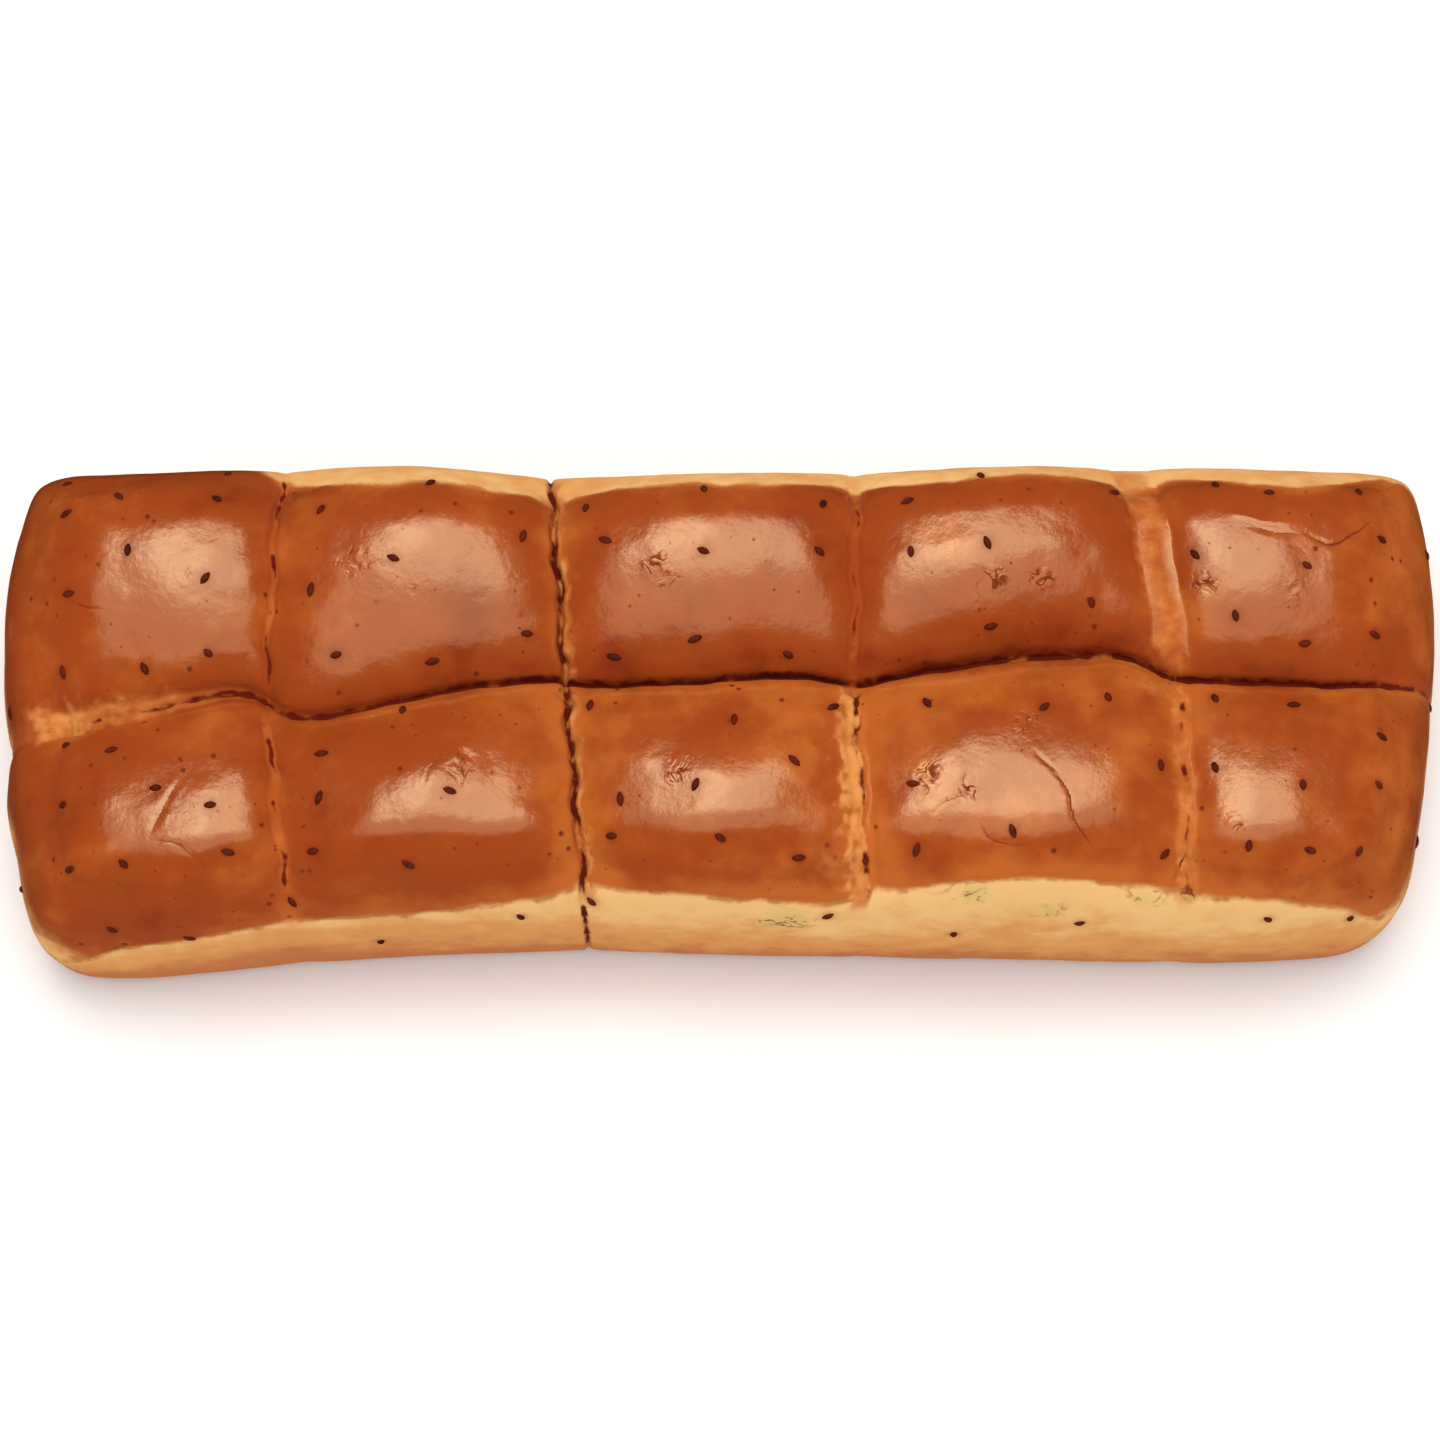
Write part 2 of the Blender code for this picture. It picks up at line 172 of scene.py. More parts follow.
# How far down each column seam's line reaches, as a share of the height.
GAP_BOTTOM = (0.70, 0.10, 0.70, 0.70)

# Where the brown crust ends and the pale side begins, measured down from the shoulder line,
# along the front side and the back side.
FRONT_EDGE_X = (-0.156, -0.131, -0.117, -0.099, -0.088, -0.069, -0.051, -0.038, -0.018, 0.006,
                0.023, 0.030, 0.048, 0.059, 0.073, 0.084, 0.093, 0.111, 0.126, 0.143, 0.156)
FRONT_EDGE = (0.044, 0.031, 0.028, 0.0235, 0.022, 0.021, 0.017, 0.0145, 0.0115, 0.0145, 0.0155,
              0.0125, 0.005, 0.002, 0.0045, 0.0085, 0.012, 0.0125, 0.017, 0.024, 0.034)
BACK_EDGE_X = (-0.156, -0.125, -0.103, -0.094, -0.079, -0.056, -0.045, -0.036, -0.023, -0.003,
               0.020, 0.028, 0.035, 0.051, 0.070, 0.087, 0.099, 0.118, 0.131, 0.150)
BACK_EDGE = (0.034, 0.026, 0.019, 0.010, -0.004, -0.006, -0.006, -0.001, -0.002, -0.006,
             -0.001, 0.007, 0.000, -0.006, -0.005, -0.002, 0.008, -0.004, -0.005, 0.014)
END_EDGE = 0.030
# How softly the crust goes over to the pale side, and how raggedly.
EDGE_SOFT = 2.8 * MM
EDGE_RAG = 1.3 * MM

# Patches of pale crumb away from the strips: place, radius (mm) and how plainly each shows.
PALE_PATCHES = (
    ((24.0, -40.5, 53.0), 7.0, 0.75), ((27.0, -20.5, 55.5), 3.2, 1.15),
    ((-37.4, 41.0, 51.0), 3.2, 0.90), ((-138.0, -8.2, 44.0), 8.0, 0.55),
    ((91.0, -1.5, 54.5), 4.0, 0.80),
)
# Wrinkled spots with fine hairlines of painted shade in their folds and small glints: place and
# radius (mm).
WRINKLED = (
    ((-112.8, 20.6, 58.4), 4.0), ((-78.3, 23.5, 59.8), 4.0), ((-65.4, 15.4, 59.9), 3.0),
    ((-13.9, 21.2, 60.6), 5.0), ((58.1, 18.9, 59.5), 4.0), ((68.3, 19.7, 59.3), 3.5),
    ((102.3, 19.7, 57.3), 4.0), ((122.6, 17.0, 57.3), 4.0), ((-114.8, -28.7, 57.2), 3.5),
    ((-55.1, -21.1, 60.3), 5.0), ((-8.7, -22.5, 60.4), 5.0), ((42.2, -23.5, 59.4), 5.0),
    ((51.5, -27.0, 60.2), 4.0), ((65.0, -13.0, 59.4), 4.0), ((107.8, -33.5, 58.1), 3.0),
    ((14.1, -49.7, 37.6), 8.0), ((52.4, -47.3, 48.7), 5.0), ((69.8, -49.2, 43.4), 4.0),
    ((89.9, -47.8, 45.7), 5.0), ((99.4, -45.9, 45.7), 3.0),
)
# Pits where four buns meet, with painted grey-green shade in their hollows: place and radius (mm).
PITS = (((-33.7, -2.8, 52.2), 2.4), ((28.8, -2.3, 50.6), 1.7))
PIT_DEPTH = 0.9 * MM
# How far the reddish stain round a seed reaches.
STAIN_REACH = 1.7 * MM

# Cracks and folds in single buns: a line of points on the crust, half width, depth, and how
# high its lips stand. A negative depth is a raised fold.
CREASES = (
    (((65.9, -18.5, 60.1), (69.3, -22.6, 60.3), (72.6, -27.4, 60.6), (73.9, -33.9, 60.2),
      (78.3, -39.6, 57.4)), 0.55, 0.85, 0.25),
    (((-111.1, -21.0, 57.2), (-114.8, -26.4, 57.3), (-117.2, -31.9, 57.1),
      (-119.2, -36.0, 56.8)), 0.80, 0.60, 0.35),
    (((-119.0, -37.3, 56.8), (-113.8, -37.9, 57.5), (-109.4, -41.2, 56.8),
      (-105.7, -44.6, 53.5)), 0.70, 0.55, 0.30),
    (((109.0, 35.4, 58.0), (117.6, 33.0, 58.5), (123.8, 33.4, 57.9)), 1.10, -0.70, 0.0),
    (((112.0, 33.0, 58.2), (118.0, 30.6, 58.4), (124.5, 30.6, 58.0)), 0.90, 0.70, 0.0),
    (((123.7, 31.4, 58.0), (130.4, 28.1, 57.2), (135.1, 30.7, 56.0),
      (140.1, 34.9, 53.5)), 0.55, 0.60, 0.20),
    (((116.2, 12.9, 58.1), (120.5, 15.1, 58.0), (124.5, 18.8, 57.8)), 0.60, 0.70, 0.25),
    (((-138.8, 16.4, 54.2), (-134.6, 14.6, 55.4), (-130.9, 14.1, 55.9)), 0.50, 0.40, 0.15),
    (((-55.3, -24.1, 60.5), (-53.9, -20.4, 60.3), (-51.5, -17.5, 59.9)), 0.50, 0.40, 0.25),
    (((-61.6, -26.3, 60.7), (-60.7, -22.8, 60.6), (-58.6, -19.6, 60.3)), 0.45, 0.35, 0.25),
    (((-20.7, 18.3, 60.2), (-18.4, 15.4, 60.0), (-14.4, 14.5, 59.9)), 0.50, 0.45, 0.25),
    (((43.8, -32.6, 59.8), (46.9, -29.6, 60.1), (54.0, -27.4, 60.2)), 0.60, 0.50, 0.40),
    (((53.9, -33.6, 59.9), (56.5, -37.8, 58.8), (64.7, -39.1, 58.3)), 0.70, 0.35, 0.15),
    (((98.5, -36.2, 53.0), (97.2, -40.2, 50.4), (95.2, -44.7, 48.2)), 0.60, 1.00, 0.20),
    (((40.8, -44.8, 51.6), (44.1, -46.6, 49.2), (47.3, -46.8, 49.3), (50.3, -44.6, 53.5)),
     0.60, 0.40, 0.20),
)
CREASE_REACH = 2.0 * MM

# The numbers that each point of the loaf carries for its material.
MASKS = ("bake", "tear", "seam", "gap", "tone", "crease", "crack", "side", "glossy", "stain",
         "wrinkle", "pit")

# The noises of the crust and crumb: lumps for each metre, detail, roughness and distortion.
GRAINS = {"broad": (45.0, 3.0), "cloudy": (170.0, 3.0, 0.6), "blotch": (290.0,),
          "fine": (700.0, 3.0), "folds": (215.0, 2.0, 0.5, 1.1)}
# Strength of each bump and the height that it stands for.
CRUST_BUMP = (0.55, 0.0011)
SEED_BUMP = (0.4, 0.0003)
# Constants of the shaders, beside the settings that the panel shows.
CRUMB_FINISH = {"Roughness": 0.85, "Specular IOR Level": 0.12}
GLAZE_COAT = {"Coat Weight": 0.14, "Coat Roughness": 0.12}
SEED_SHINE = 0.10
FLOOR_ROUGHNESS = 0.9

# The lights, each with a brightness setting of its name: how far from overhead it stands, to the
# right and to the back, and how far it reaches each way, seen from the loaf, in degrees.
LIGHTS = {
    "softbox": ((-1.0, 3.0), (25.5, 27.0)),
    "softbox_core": ((0.5, 15.5), (19.5, 12.5)),
    "glint": ((-9.0, 18.0), (8.0, 7.0)),
    "front_fill": ((0.0, -77.0), (30.0, 8.0)),
}
LIGHT_DISTANCE = 3.0
FLOOR_REACH = 4.0
FLOOR_DROP = 0.0005

# Aniseed: half lengths, cells that each bun and wall is shared into, share left empty, number of
# the random draw, faces and ribs, and the setting behind each input of its geometry nodes.
SEED_HALF_LENGTH = (0.00125, 0.00175)
SEED_CELLS = (3, 3)
SEED_WALL_CELLS = {"front": 13, "back": 11, "end": 3}
SEED_EMPTY = 0.08
SEED_DRAW = 7
SEED_SEGMENTS = 10
SEED_RINGS = 7
SEED_RIBS = 5.0
SEED_INPUTS = {"Half Width": "half_width", "Half Height": "half_height",
               "Rib Depth": "rib_depth", "Tip Pinch": "tip_pinch"}


def smoothstep(low, high, value):
    """0 below low, 1 above high, an even S curve between."""
    t = np.clip((value - low) / (high - low), 0.0, 1.0)
    return t * t * (3.0 - 2.0 * t)


def through(x, places, values):
    """A smooth line through the values at the places, level beyond the last ones."""
    places = np.asarray(places, float)
    values = np.asarray(values, float)
    slope = np.gradient(values, places)
    x = np.clip(x, places[0], places[-1])
    k = np.clip(np.searchsorted(places, x) - 1, 0, len(places) - 2)
    span = places[k + 1] - places[k]
    t = (x - places[k]) / span
    start = values[k] * (1 + 2 * t) * (1 - t) ** 2 + slope[k] * span * t * (1 - t) ** 2
    end = values[k + 1] * t * t * (3 - 2 * t) + slope[k + 1] * span * t * t * (t - 1)
    return start + end


def valley(distance, reach):
    """Share of a valley's depth at a distance from its bottom: steep there, level at reach."""
    s = np.clip(1.0 - distance / reach, 0.0, 1.0)
    return 1.0 - (1.0 - s ** CROWN_SQUARENESS) ** (1.0 / CROWN_SQUARENESS)


def between_rows(front, back, v):
    """A value that differs between the two rows."""
    return front + (back - front) * smoothstep(-0.006, 0.006, v)


def open_crack(away, depth):
    """Depth of the narrow open crack along the bottom of a valley."""
    return CRACK_SHARE * depth * np.clip(1.0 - away / CRACK_HALF_WIDTH, 0.0, 1.0)


def seam_drop(u, v, w):
    """How far the skin lies below a plain rounded box at the seams between the buns."""
    high = smoothstep(0.45 * HEIGHT, HEIGHT, w) ** 2
    fade = WALL_FADE_COLUMNS + (1.0 - WALL_FADE_COLUMNS) * high
    fade_row = WALL_FADE_ROW + (1.0 - WALL_FADE_ROW) * high
    columns = np.zeros_like(u)
    crack = np.zeros_like(u)
    for k, x in enumerate(SEAM_X):
        depth = between_rows(COLUMN_DEPTH_FRONT[k], COLUMN_DEPTH_BACK[k], v)
        flat = between_rows(COLUMN_FLAT_FRONT[k], COLUMN_FLAT_BACK[k], v)
        gape = between_rows(COLUMN_CRACK_FRONT[k], COLUMN_CRACK_BACK[k], v)
        away = np.abs(u - x)
        columns += (fade * depth * valley(np.maximum(away - flat, 0.0), CROWN_REACH)) ** 2
        gape_fade = np.maximum(fade, CRACK_DOWN_WALL[k])
        crack = np.maximum(crack, gape_fade * open_crack(away, gape))
    away = np.abs(v)
    flat = through(u, LINE_X, ROW_FLAT)
    depth = through(u, LINE_X, ROW_DEPTH)
    reach = np.where(v > 0.0, through(u, BUN_MIDDLES, ROW_REACH_BACK), ROW_REACH)
    row = fade_row * depth * valley(np.maximum(away - flat, 0.0), reach)
    gape = through(u, LINE_X, ROW_CRACK)
    crack = np.maximum(crack, fade_row * open_crack(away, gape))
    both = np.sqrt(columns) * row
    share = np.exp(-(np.sqrt(columns) + row) / CORNER_DROP)
    return np.sqrt(columns + row ** 2 + 2.0 * share * both) + crack


def crown_fall(u, v, w):
    """Lower crowns of some buns, and the slope of the end buns down to the ends."""
    back = smoothstep(-0.012, 0.012, v)
    front_fall = -through(u, BUN_MIDDLES, CROWN_FRONT)
    fall = front_fall + (-through(u, BUN_MIDDLES, CROWN_BACK) - front_fall) * back
    end_fall = END_FALL * (1.0 - END_FALL_EASE * back * (u < 0.0))
    fall += end_fall * smoothstep(END_FALL_START, LENGTH / 2, np.abs(u)) ** 1.4
    lumps = np.sin(83.0 * u + 1.1) * np.sin(97.0 * v + 0.7)
    lumps += (0.6 - 0.5 * back) * np.sin(171.0 * u - 140.0 * v)
    fall += LUMP_FALL * lumps + SHOULDER_FALL * smoothstep(0.018, WIDTH / 2, v)
    return fall * smoothstep(0.15 * HEIGHT, HEIGHT, w)


def wander(along, phase):
    """Small sideways wander of a torn line, at a distance along it."""
    waves = ((0.45, 3.1, 1), (0.25, 1.4, 3), (0.08, 0.8, 5))
    return MM * sum(high * np.sin(along / (long * MM) + turns * phase) for high, long, turns in waves)


def bend_in_plan(x, y):
    """Lean of the seams, wander of the edges and seams, and the rounder ends."""
    side = np.clip(y / (WIDTH / 2), -1.0, 1.0)
    to_back = np.maximum(side, 0.0)
    to_front = np.maximum(-side, 0.0)
    ends = (-LENGTH / 2, *SEAM_X, LENGTH / 2)
    lean = [through(x, ends, (0.0, *row, 0.0))
            for row in (SEAM_LEAN_BACK, SEAM_LEAN_MIDDLE, SEAM_LEAN_FRONT)]
    line = [through(x, places, row) for places, row in
            ((LINE_X, BACK_LINE), (ROW_X, ROW_LINE), (LINE_X, FRONT_LINE))]
    shares = (to_back, 1.0 - to_back - to_front, to_front)
    new_x = x + sum(a * b for a, b in zip(lean, shares))
    new_y = y + sum(a * b for a, b in zip(line, shares))
    for k, seam in enumerate(SEAM_X):
        near = np.exp(-((x - seam) / (4 * MM)) ** 2) * smoothstep(0.0, 4 * MM, np.abs(y))
        new_x = new_x + near * wander(y, 1.0 + k)
    new_y = new_y + 0.35 * np.exp(-(y / (4 * MM)) ** 2) * wander(x, 0.3)
    near_end = smoothstep(END_START, LENGTH / 2, np.abs(x))
    draw = np.where(x < 0.0, through(side, END_SIDE, LEFT_DRAW),
                    -through(side, END_SIDE, RIGHT_DRAW))
    return new_x + draw * near_end, new_y


def loaf_points(u, v, w):
    """Where points of the plain box's skin lie on the finished loaf."""
    inner = (LENGTH / 2 - END_ROUND, WIDTH / 2 - SIDE_ROUND)
    qx = np.clip(u, -inner[0], inner[0])
    qy = np.clip(v, -inner[1], inner[1])
    qz = np.minimum(w, HEIGHT - TOP_ROUND)
    ox, oy, oz = (u - qx) / END_ROUND, (v - qy) / SIDE_ROUND, (w - qz) / TOP_ROUND
    most = np.maximum(np.maximum(np.abs(ox), np.abs(oy)), np.abs(oz))
    p, q = SQUARENESS, PLAN_SQUARENESS
    flat = (np.abs(ox) ** q + np.abs(oy) ** q) ** (1.0 / q)
    norm = np.maximum((flat ** p + np.abs(oz) ** p) ** (1.0 / p), 1e-9)
    ox, oy, oz, flat = (value * most / norm for value in (ox, oy, oz, flat))
    x, y, z = qx + ox * END_ROUND, qy + oy * SIDE_ROUND, qz + oz * TOP_ROUND
    share = np.maximum(flat, 1e-6) ** (p - q)
    nx = share * np.sign(ox) * np.abs(ox) ** (q - 1) / END_ROUND
    ny = share * np.sign(oy) * np.abs(oy) ** (q - 1) / SIDE_ROUND
    nz = np.abs(oz) ** (p - 1) / TOP_ROUND
    size = np.maximum(np.sqrt(nx * nx + ny * ny + nz * nz), 1e-9)
    nx, ny, nz = nx / size, ny / size, nz / size
    belly = np.sin(math.pi * np.clip(w / (HEIGHT - 0.35 * TOP_ROUND), 0.0, 1.0))
    swell = belly * (SIDE_SWELL * np.abs(ny) + END_SWELL * np.abs(nx))
    tuck = np.clip(1.0 - w / FOOT_ROUND, 0.0, 1.0)
    foot = FOOT_ROUND * (1.0 - np.sqrt(1.0 - tuck ** 2))
    out = swell - foot - seam_drop(u, v, w) - crown_fall(u, v, w)
    out = np.where(w <= 0.0, -foot * np.hypot(nx, ny), out)
    x, y, z = x + nx * out, y + ny * out, z + nz * out
    x, y = bend_in_plan(x, y)
    return np.stack([x, y, np.where(w <= 0.0, 0.0, z)], axis=1)


def spread(length, count, tight):
    """Distances out from a seam, close together there and wider farther out."""
    t = np.linspace(0.0, 1.0, count + 1)
    return length * (tight * t + (1.0 - tight) * (1.0 - np.cos(t * math.pi / 2)))


def lattice(cuts):
    """Places of the cuts along X, Y and Z, closest at the seams."""
    tight = 0.30
    xs = []
    for left, right in zip(SEAM_X, SEAM_X[1:]):
        out = spread((right - left) / 2, cuts, tight)
        xs += [*(left + out), *(right - out)]
    end_cuts = round(cuts * 1.8)
    xs += [*(SEAM_X[0] - spread(SEAM_X[0] + LENGTH / 2, end_cuts, tight))]
    xs += [*(SEAM_X[-1] + spread(LENGTH / 2 - SEAM_X[-1], end_cuts, tight))]
    side = spread(WIDTH / 2, round(cuts * 1.6), tight)
    ys = [*side, *(-side)]
    zs = spread(HEIGHT, round(cuts * 1.1), 0.6)
    return [np.unique(np.round(places, 8)) for places in (xs, ys, zs)]


def box_skin(places):
    """Points and faces of the plain box's skin, cut at the places, with one face below."""
    xs, ys, zs = places
    nx, ny, nz = (len(axis) - 1 for axis in places)
    i, j, k = (np.arange(count + 1) for count in (nx, ny, nz))

    def sheet(a, b, c):
        """The numbers of a grid of lattice points."""
        return (np.asarray(a) * (ny + 1) + np.asarray(b)) * (nz + 1) + np.asarray(c)

    sheets = [sheet(i[:, None], j[None, :], nz), sheet(i[:, None], 0, k[None, :]),
              sheet(i[:, None], ny, k[None, :]), sheet(0, j[:, None], k[None, :]),
              sheet(nx, j[:, None], k[None, :])]
    quads = [np.stack([s[:-1, :-1], s[1:, :-1], s[1:, 1:], s[:-1, 1:]], axis=-1).reshape(-1, 4)
             for s in sheets]
    ring = np.concatenate([sheet(i[:-1], 0, 0), sheet(nx, j[:-1], 0), sheet(i[:0:-1], ny, 0),
                           sheet(0, j[:0:-1], 0)])
    quads = np.concatenate(quads)
    numbers, first = np.unique(quads, return_inverse=True)
    place = np.searchsorted(numbers, ring)
    points = np.stack([xs[numbers // ((ny + 1) * (nz + 1))],
                       ys[numbers // (nz + 1) % (ny + 1)], zs[numbers % (nz + 1)]], axis=1)
    return points, [*first.reshape(-1, 4).tolist(), place.tolist()]


def curve_through(points):
    """A smooth curve through a few points, as many short straight pieces."""
    steps = np.arange(len(points))
    fine = np.linspace(0, len(points) - 1, 4 * len(points))
    return np.stack([through(fine, steps, axis) for axis in points.T], axis=1)


def crease_distance(points, line):
    """Distance of points from a line, which side of it they lie on, and how far along (0 to 1)."""
    line = curve_through(np.asarray(line) * MM)
    lengths = np.linalg.norm(np.diff(line, axis=0), axis=1)
    starts = np.concatenate([[0.0], np.cumsum(lengths)])
    best = np.full(len(points), 1.0)
    along, hand = np.zeros(len(points)), np.ones(len(points))
    for a, b, length, start in zip(line, line[1:], lengths, starts):
        t = np.clip((points - a) @ (b - a) / length ** 2, 0.0, 1.0)
        away = np.linalg.norm(points - (a + t[:, None] * (b - a)), axis=1)
        out = points - a
        turn = np.sign((b - a)[0] * out[:, 1] - (b - a)[1] * out[:, 0])
        along = np.where(away < best, (start + t * length) / starts[-1], along)
        hand = np.where(away < best, turn, hand)
        best = np.minimum(best, away)
    return best, hand, along


def noise_at(points, size, octaves, seed):
    """Smooth noise of about -1 to 1 at points, with lumps of a given size."""
    shift = Vector((seed * 1.37, seed * 2.11, seed * 0.73))
    return np.array([noise.fractal(Vector(p) / size + shift, 1.0, 2.0, octaves) for p in points])


def refine_creases(bm, middle):
    """Finer faces along the cracks and folds of single buns."""
    bm.verts.ensure_lookup_table()
    skin = np.array([v.co[:] for v in bm.verts])
    placed = loaf_points(*skin.T) - middle
    near = np.zeros(len(skin), bool)
    for line, *_ in CREASES:
        near |= crease_distance(placed, line)[0] < CREASE_REACH
    edges = [e for e in bm.edges if all(near[v.index] for v in e.verts)]
    bmesh.ops.subdivide_edges(bm, edges=edges, cuts=2, use_grid_fill=True)


def torn(away, reach, shows, ragged, patchy):
    """How plainly torn crumb shows at a distance from a seam, soft and ragged at its edge."""
    soft = 0.35 * reach + 0.4 * MM
    edge = away - reach * (1.0 + 0.6 * ragged)
    return shows * (shows + (1.0 - shows) * patchy) * smoothstep(soft, -soft, edge)


def spots(points, places):
    """The nearest soft spot's strength at points, 1 at its middle."""
    mask = np.zeros(len(points))
    for place, radius, *shows in places:
        away = np.linalg.norm(points - np.array(place) * MM, axis=1)
        mask = np.maximum(mask, (shows or [1.0])[0] * np.exp(-(away / (radius * MM)) ** 2))
    return mask


def tear_mask(u, v, w, points, ragged, patchy):
    """1 on the pale torn strips along the seams and in the pale patches."""
    mask = np.zeros_like(u)
    for k, x in enumerate(SEAM_X):
        left, right, shows = (between_rows(TEAR_FRONT[k][n], TEAR_BACK[k][n], v)
                              for n in range(3))
        reach = np.where(u < x, left, right)
        mask = np.maximum(mask, torn(np.abs(u - x), reach, shows, ragged, patchy))
    reach = np.where(v < 0.0, through(u, LINE_X, ROW_TEAR_FRONT),
                     through(u, LINE_X, ROW_TEAR_BACK))
    shows = through(u, LINE_X, ROW_TEAR_SHOWS)
    mask = np.maximum(mask, torn(np.abs(v), reach, shows, ragged, patchy))
    mask *= smoothstep(0.62 * HEIGHT, 0.80 * HEIGHT, w)
    return np.maximum(mask, spots(points, PALE_PATCHES) * (0.75 + 0.5 * ragged))


def seam_lines(u, v, w):
    """Distance from the nearest seam in millimetres, and how strongly shade is painted in its crack
    (0 to 1).
    """
    nearest = np.full(len(u), 1.0)
    gap = np.zeros_like(u)
    for k, x in enumerate(SEAM_X):
        gape = between_rows(GAP_FRONT[k], GAP_BACK[k], v)
        low = GAP_BOTTOM[k]
        gape = gape * smoothstep(low * HEIGHT, (low + 0.15) * HEIGHT, w)
        away = np.abs(u - x)
        gap = np.where(away < nearest, gape, gap)
        nearest = np.minimum(nearest, away)
    gape = through(u, LINE_X, GAP_ROW) * smoothstep(0.45 * HEIGHT, 0.75 * HEIGHT, w)
    gap = np.where(np.abs(v) < nearest, gape, gap)
    return np.minimum(nearest, np.abs(v)) / MM, gap


def below_edges(u, v, w):
    """Distance below the crust's edge on the front side and on the back side, less on top."""
    sides = ((-1, FRONT_EDGE_X, FRONT_EDGE), (1, BACK_EDGE_X, BACK_EDGE))
    return [(HEIGHT - w) - (WIDTH / 2 - sign * v) - through(u, places, edge)
            for sign, places, edge in sides]


def bake_mask(u, v, w, ragged):
    """1 on the brown crust and 0 on the pale sides that touched the pan or other loaves."""
    soft, shift = EDGE_SOFT, EDGE_RAG * ragged
    front, back = (smoothstep(-soft, soft, below + shift) for below in below_edges(u, v, w))
    end = (HEIGHT - w) - (LENGTH / 2 - np.abs(u)) - END_EDGE + 2.0 * shift
    return 1.0 - np.maximum(np.maximum(front, back), 0.7 * smoothstep(-3 * soft, 3 * soft, end))


def tone_and_shade_mask(u, v, w, lumps):
    """0 on the darkest crust, 1 on the lightest, 0.5 on most; it holds painted light and shade too.
    """
    tone = 0.5 + 0.20 * lumps
    for k, x in enumerate(SEAM_X):
        shows = between_rows(TEAR_FRONT[k][2], TEAR_BACK[k][2], v)
        reach = between_rows(TEAR_FRONT[k][0] + TEAR_FRONT[k][1],
                             TEAR_BACK[k][0] + TEAR_BACK[k][1], v) / 2
        away = np.maximum(np.abs(u - x) - reach, 0.0)
        tone += (0.08 + 0.26 * shows ** 2) * np.exp(-away / (3.0 * MM))
    front, back = below_edges(u, v, w)
    tone += 0.30 * smoothstep(-13 * MM, 0.0, front)
    tone += 0.28 * smoothstep(-6 * MM, 0.0, back)
    # Painted light: the front row's slope up to the row seam, which faces the softbox, is lighter.
    tone += 0.12 * smoothstep(9 * MM, 1 * MM, -v) * (v < 0.0)
    tone += 0.16 * (v < 0.0) * smoothstep(-0.090, 0.0, u)
    tone += 0.11 * (v > 0.0) * smoothstep(0.096, 0.120, u)
    # Painted light: the crust is lighter toward the two ends, where its steep slopes get little
    # light.
    tone += 0.08 * smoothstep(0.143, LENGTH / 2, np.abs(u))
    # Painted shade: the back row's slope down into the row seam is darker.
    tone -= 0.16 * smoothstep(12 * MM, 2 * MM, v) * (v > 0.0) * smoothstep(-0.125, -0.085, u)
    return np.clip(tone, 0.0, 1.0)


def side_mask(u, v, w):
    """0 just under the crust's edge at the front, where it is creamy, to 1 near the base."""
    edge = through(u, FRONT_EDGE_X, FRONT_EDGE)
    front = np.clip(below_edges(u, v, w)[0] / (HEIGHT - edge), 0.0, 1.0)
    front += 0.35 * smoothstep(0.0, -0.110, u) + 0.12 * smoothstep(0.070, 0.150, u)
    plain = 0.35 + 0.65 * smoothstep(HEIGHT, 0.0, w)
    return plain + (front - plain) * smoothstep(-0.20 * WIDTH, -0.45 * WIDTH, v)


def stain_mask(points, seeds):
    """1 at each seed, fading out round it."""
    mask = np.zeros(len(points))
    for seed in seeds:
        away = np.linalg.norm(points - seed, axis=1)
        mask = np.maximum(mask, np.exp(-(away / STAIN_REACH) ** 2))
    return mask


def relief(w, points, tear, ragged, look):
    """Fine relief along the normal: low lumps, torn fibres, cracks and folds of single buns.

    With it, the signed distance from the nearest of those cracks in millimetres, and how
    plainly that crack shows (0 to 1).
    """
    out = look.lump_height * (noise_at(points, 9 * MM, 2, 1) - 0.6)
    out += look.skin_height * noise_at(points, 2.2 * MM, 2, 2)
    out += tear * look.tear_height * (ragged - 0.4)
    out -= PIT_DEPTH * spots(points, PITS)
    nearest, crease, crack = (np.full(len(points), fill) for fill in (1.0, 9.0, 0.0))
    for line, width, depth, lips in CREASES:
        away, hand, along = crease_distance(points, line)
        taper = np.sin(math.pi * np.clip(along, 0.02, 0.98)) ** 0.6
        groove = np.exp(-(away / (width * MM)) ** 2)
        lip = np.exp(-((away - 1.9 * width * MM) / (0.9 * width * MM)) ** 2)
        share = look.crease_depth if depth > 0.0 else look.fold_height
        out += share * (lips * depth * lip - depth * groove) * taper * MM
        shows = taper * np.exp(-(away / (1.3 * MM)) ** 2) * np.clip(1.4 * depth, 0.0, 1.0)
        crack = np.where(away < nearest, shows, crack)
        crease = np.where(away < nearest, np.clip(hand * away / MM, -9.0, 9.0), crease)
        nearest = np.minimum(nearest, away)
    return np.where(w > 0.0, out * smoothstep(0.0, 4 * MM, w), 0.0), crease, crack


def plain_skin(cuts):
    """The plain box's skin, and the middle of its loaf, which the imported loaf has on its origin."""
    points, faces = box_skin(lattice(cuts))
    placed = loaf_points(*points.T)
    return points, faces, (placed.min(axis=0) + placed.max(axis=0)) / 2 * (1, 1, 0)


def mesh_numbers(items, name):
    """A vector property of a mesh's points, one row for each point."""
    numbers = np.empty(len(items) * 3)
    items.foreach_get(name, numbers)
    return numbers.reshape(-1, 3)


def place_points(mesh, points):
    """Moves a mesh's points."""
    mesh.vertices.foreach_set("co", points.ravel())
    mesh.update()


def add_attribute(mesh, name, values):
    """One number for each point of a mesh, for its material."""
    layer = mesh.attributes.new(name, "FLOAT", "POINT")
    layer.data.foreach_set("value", np.asarray(values, np.float32))


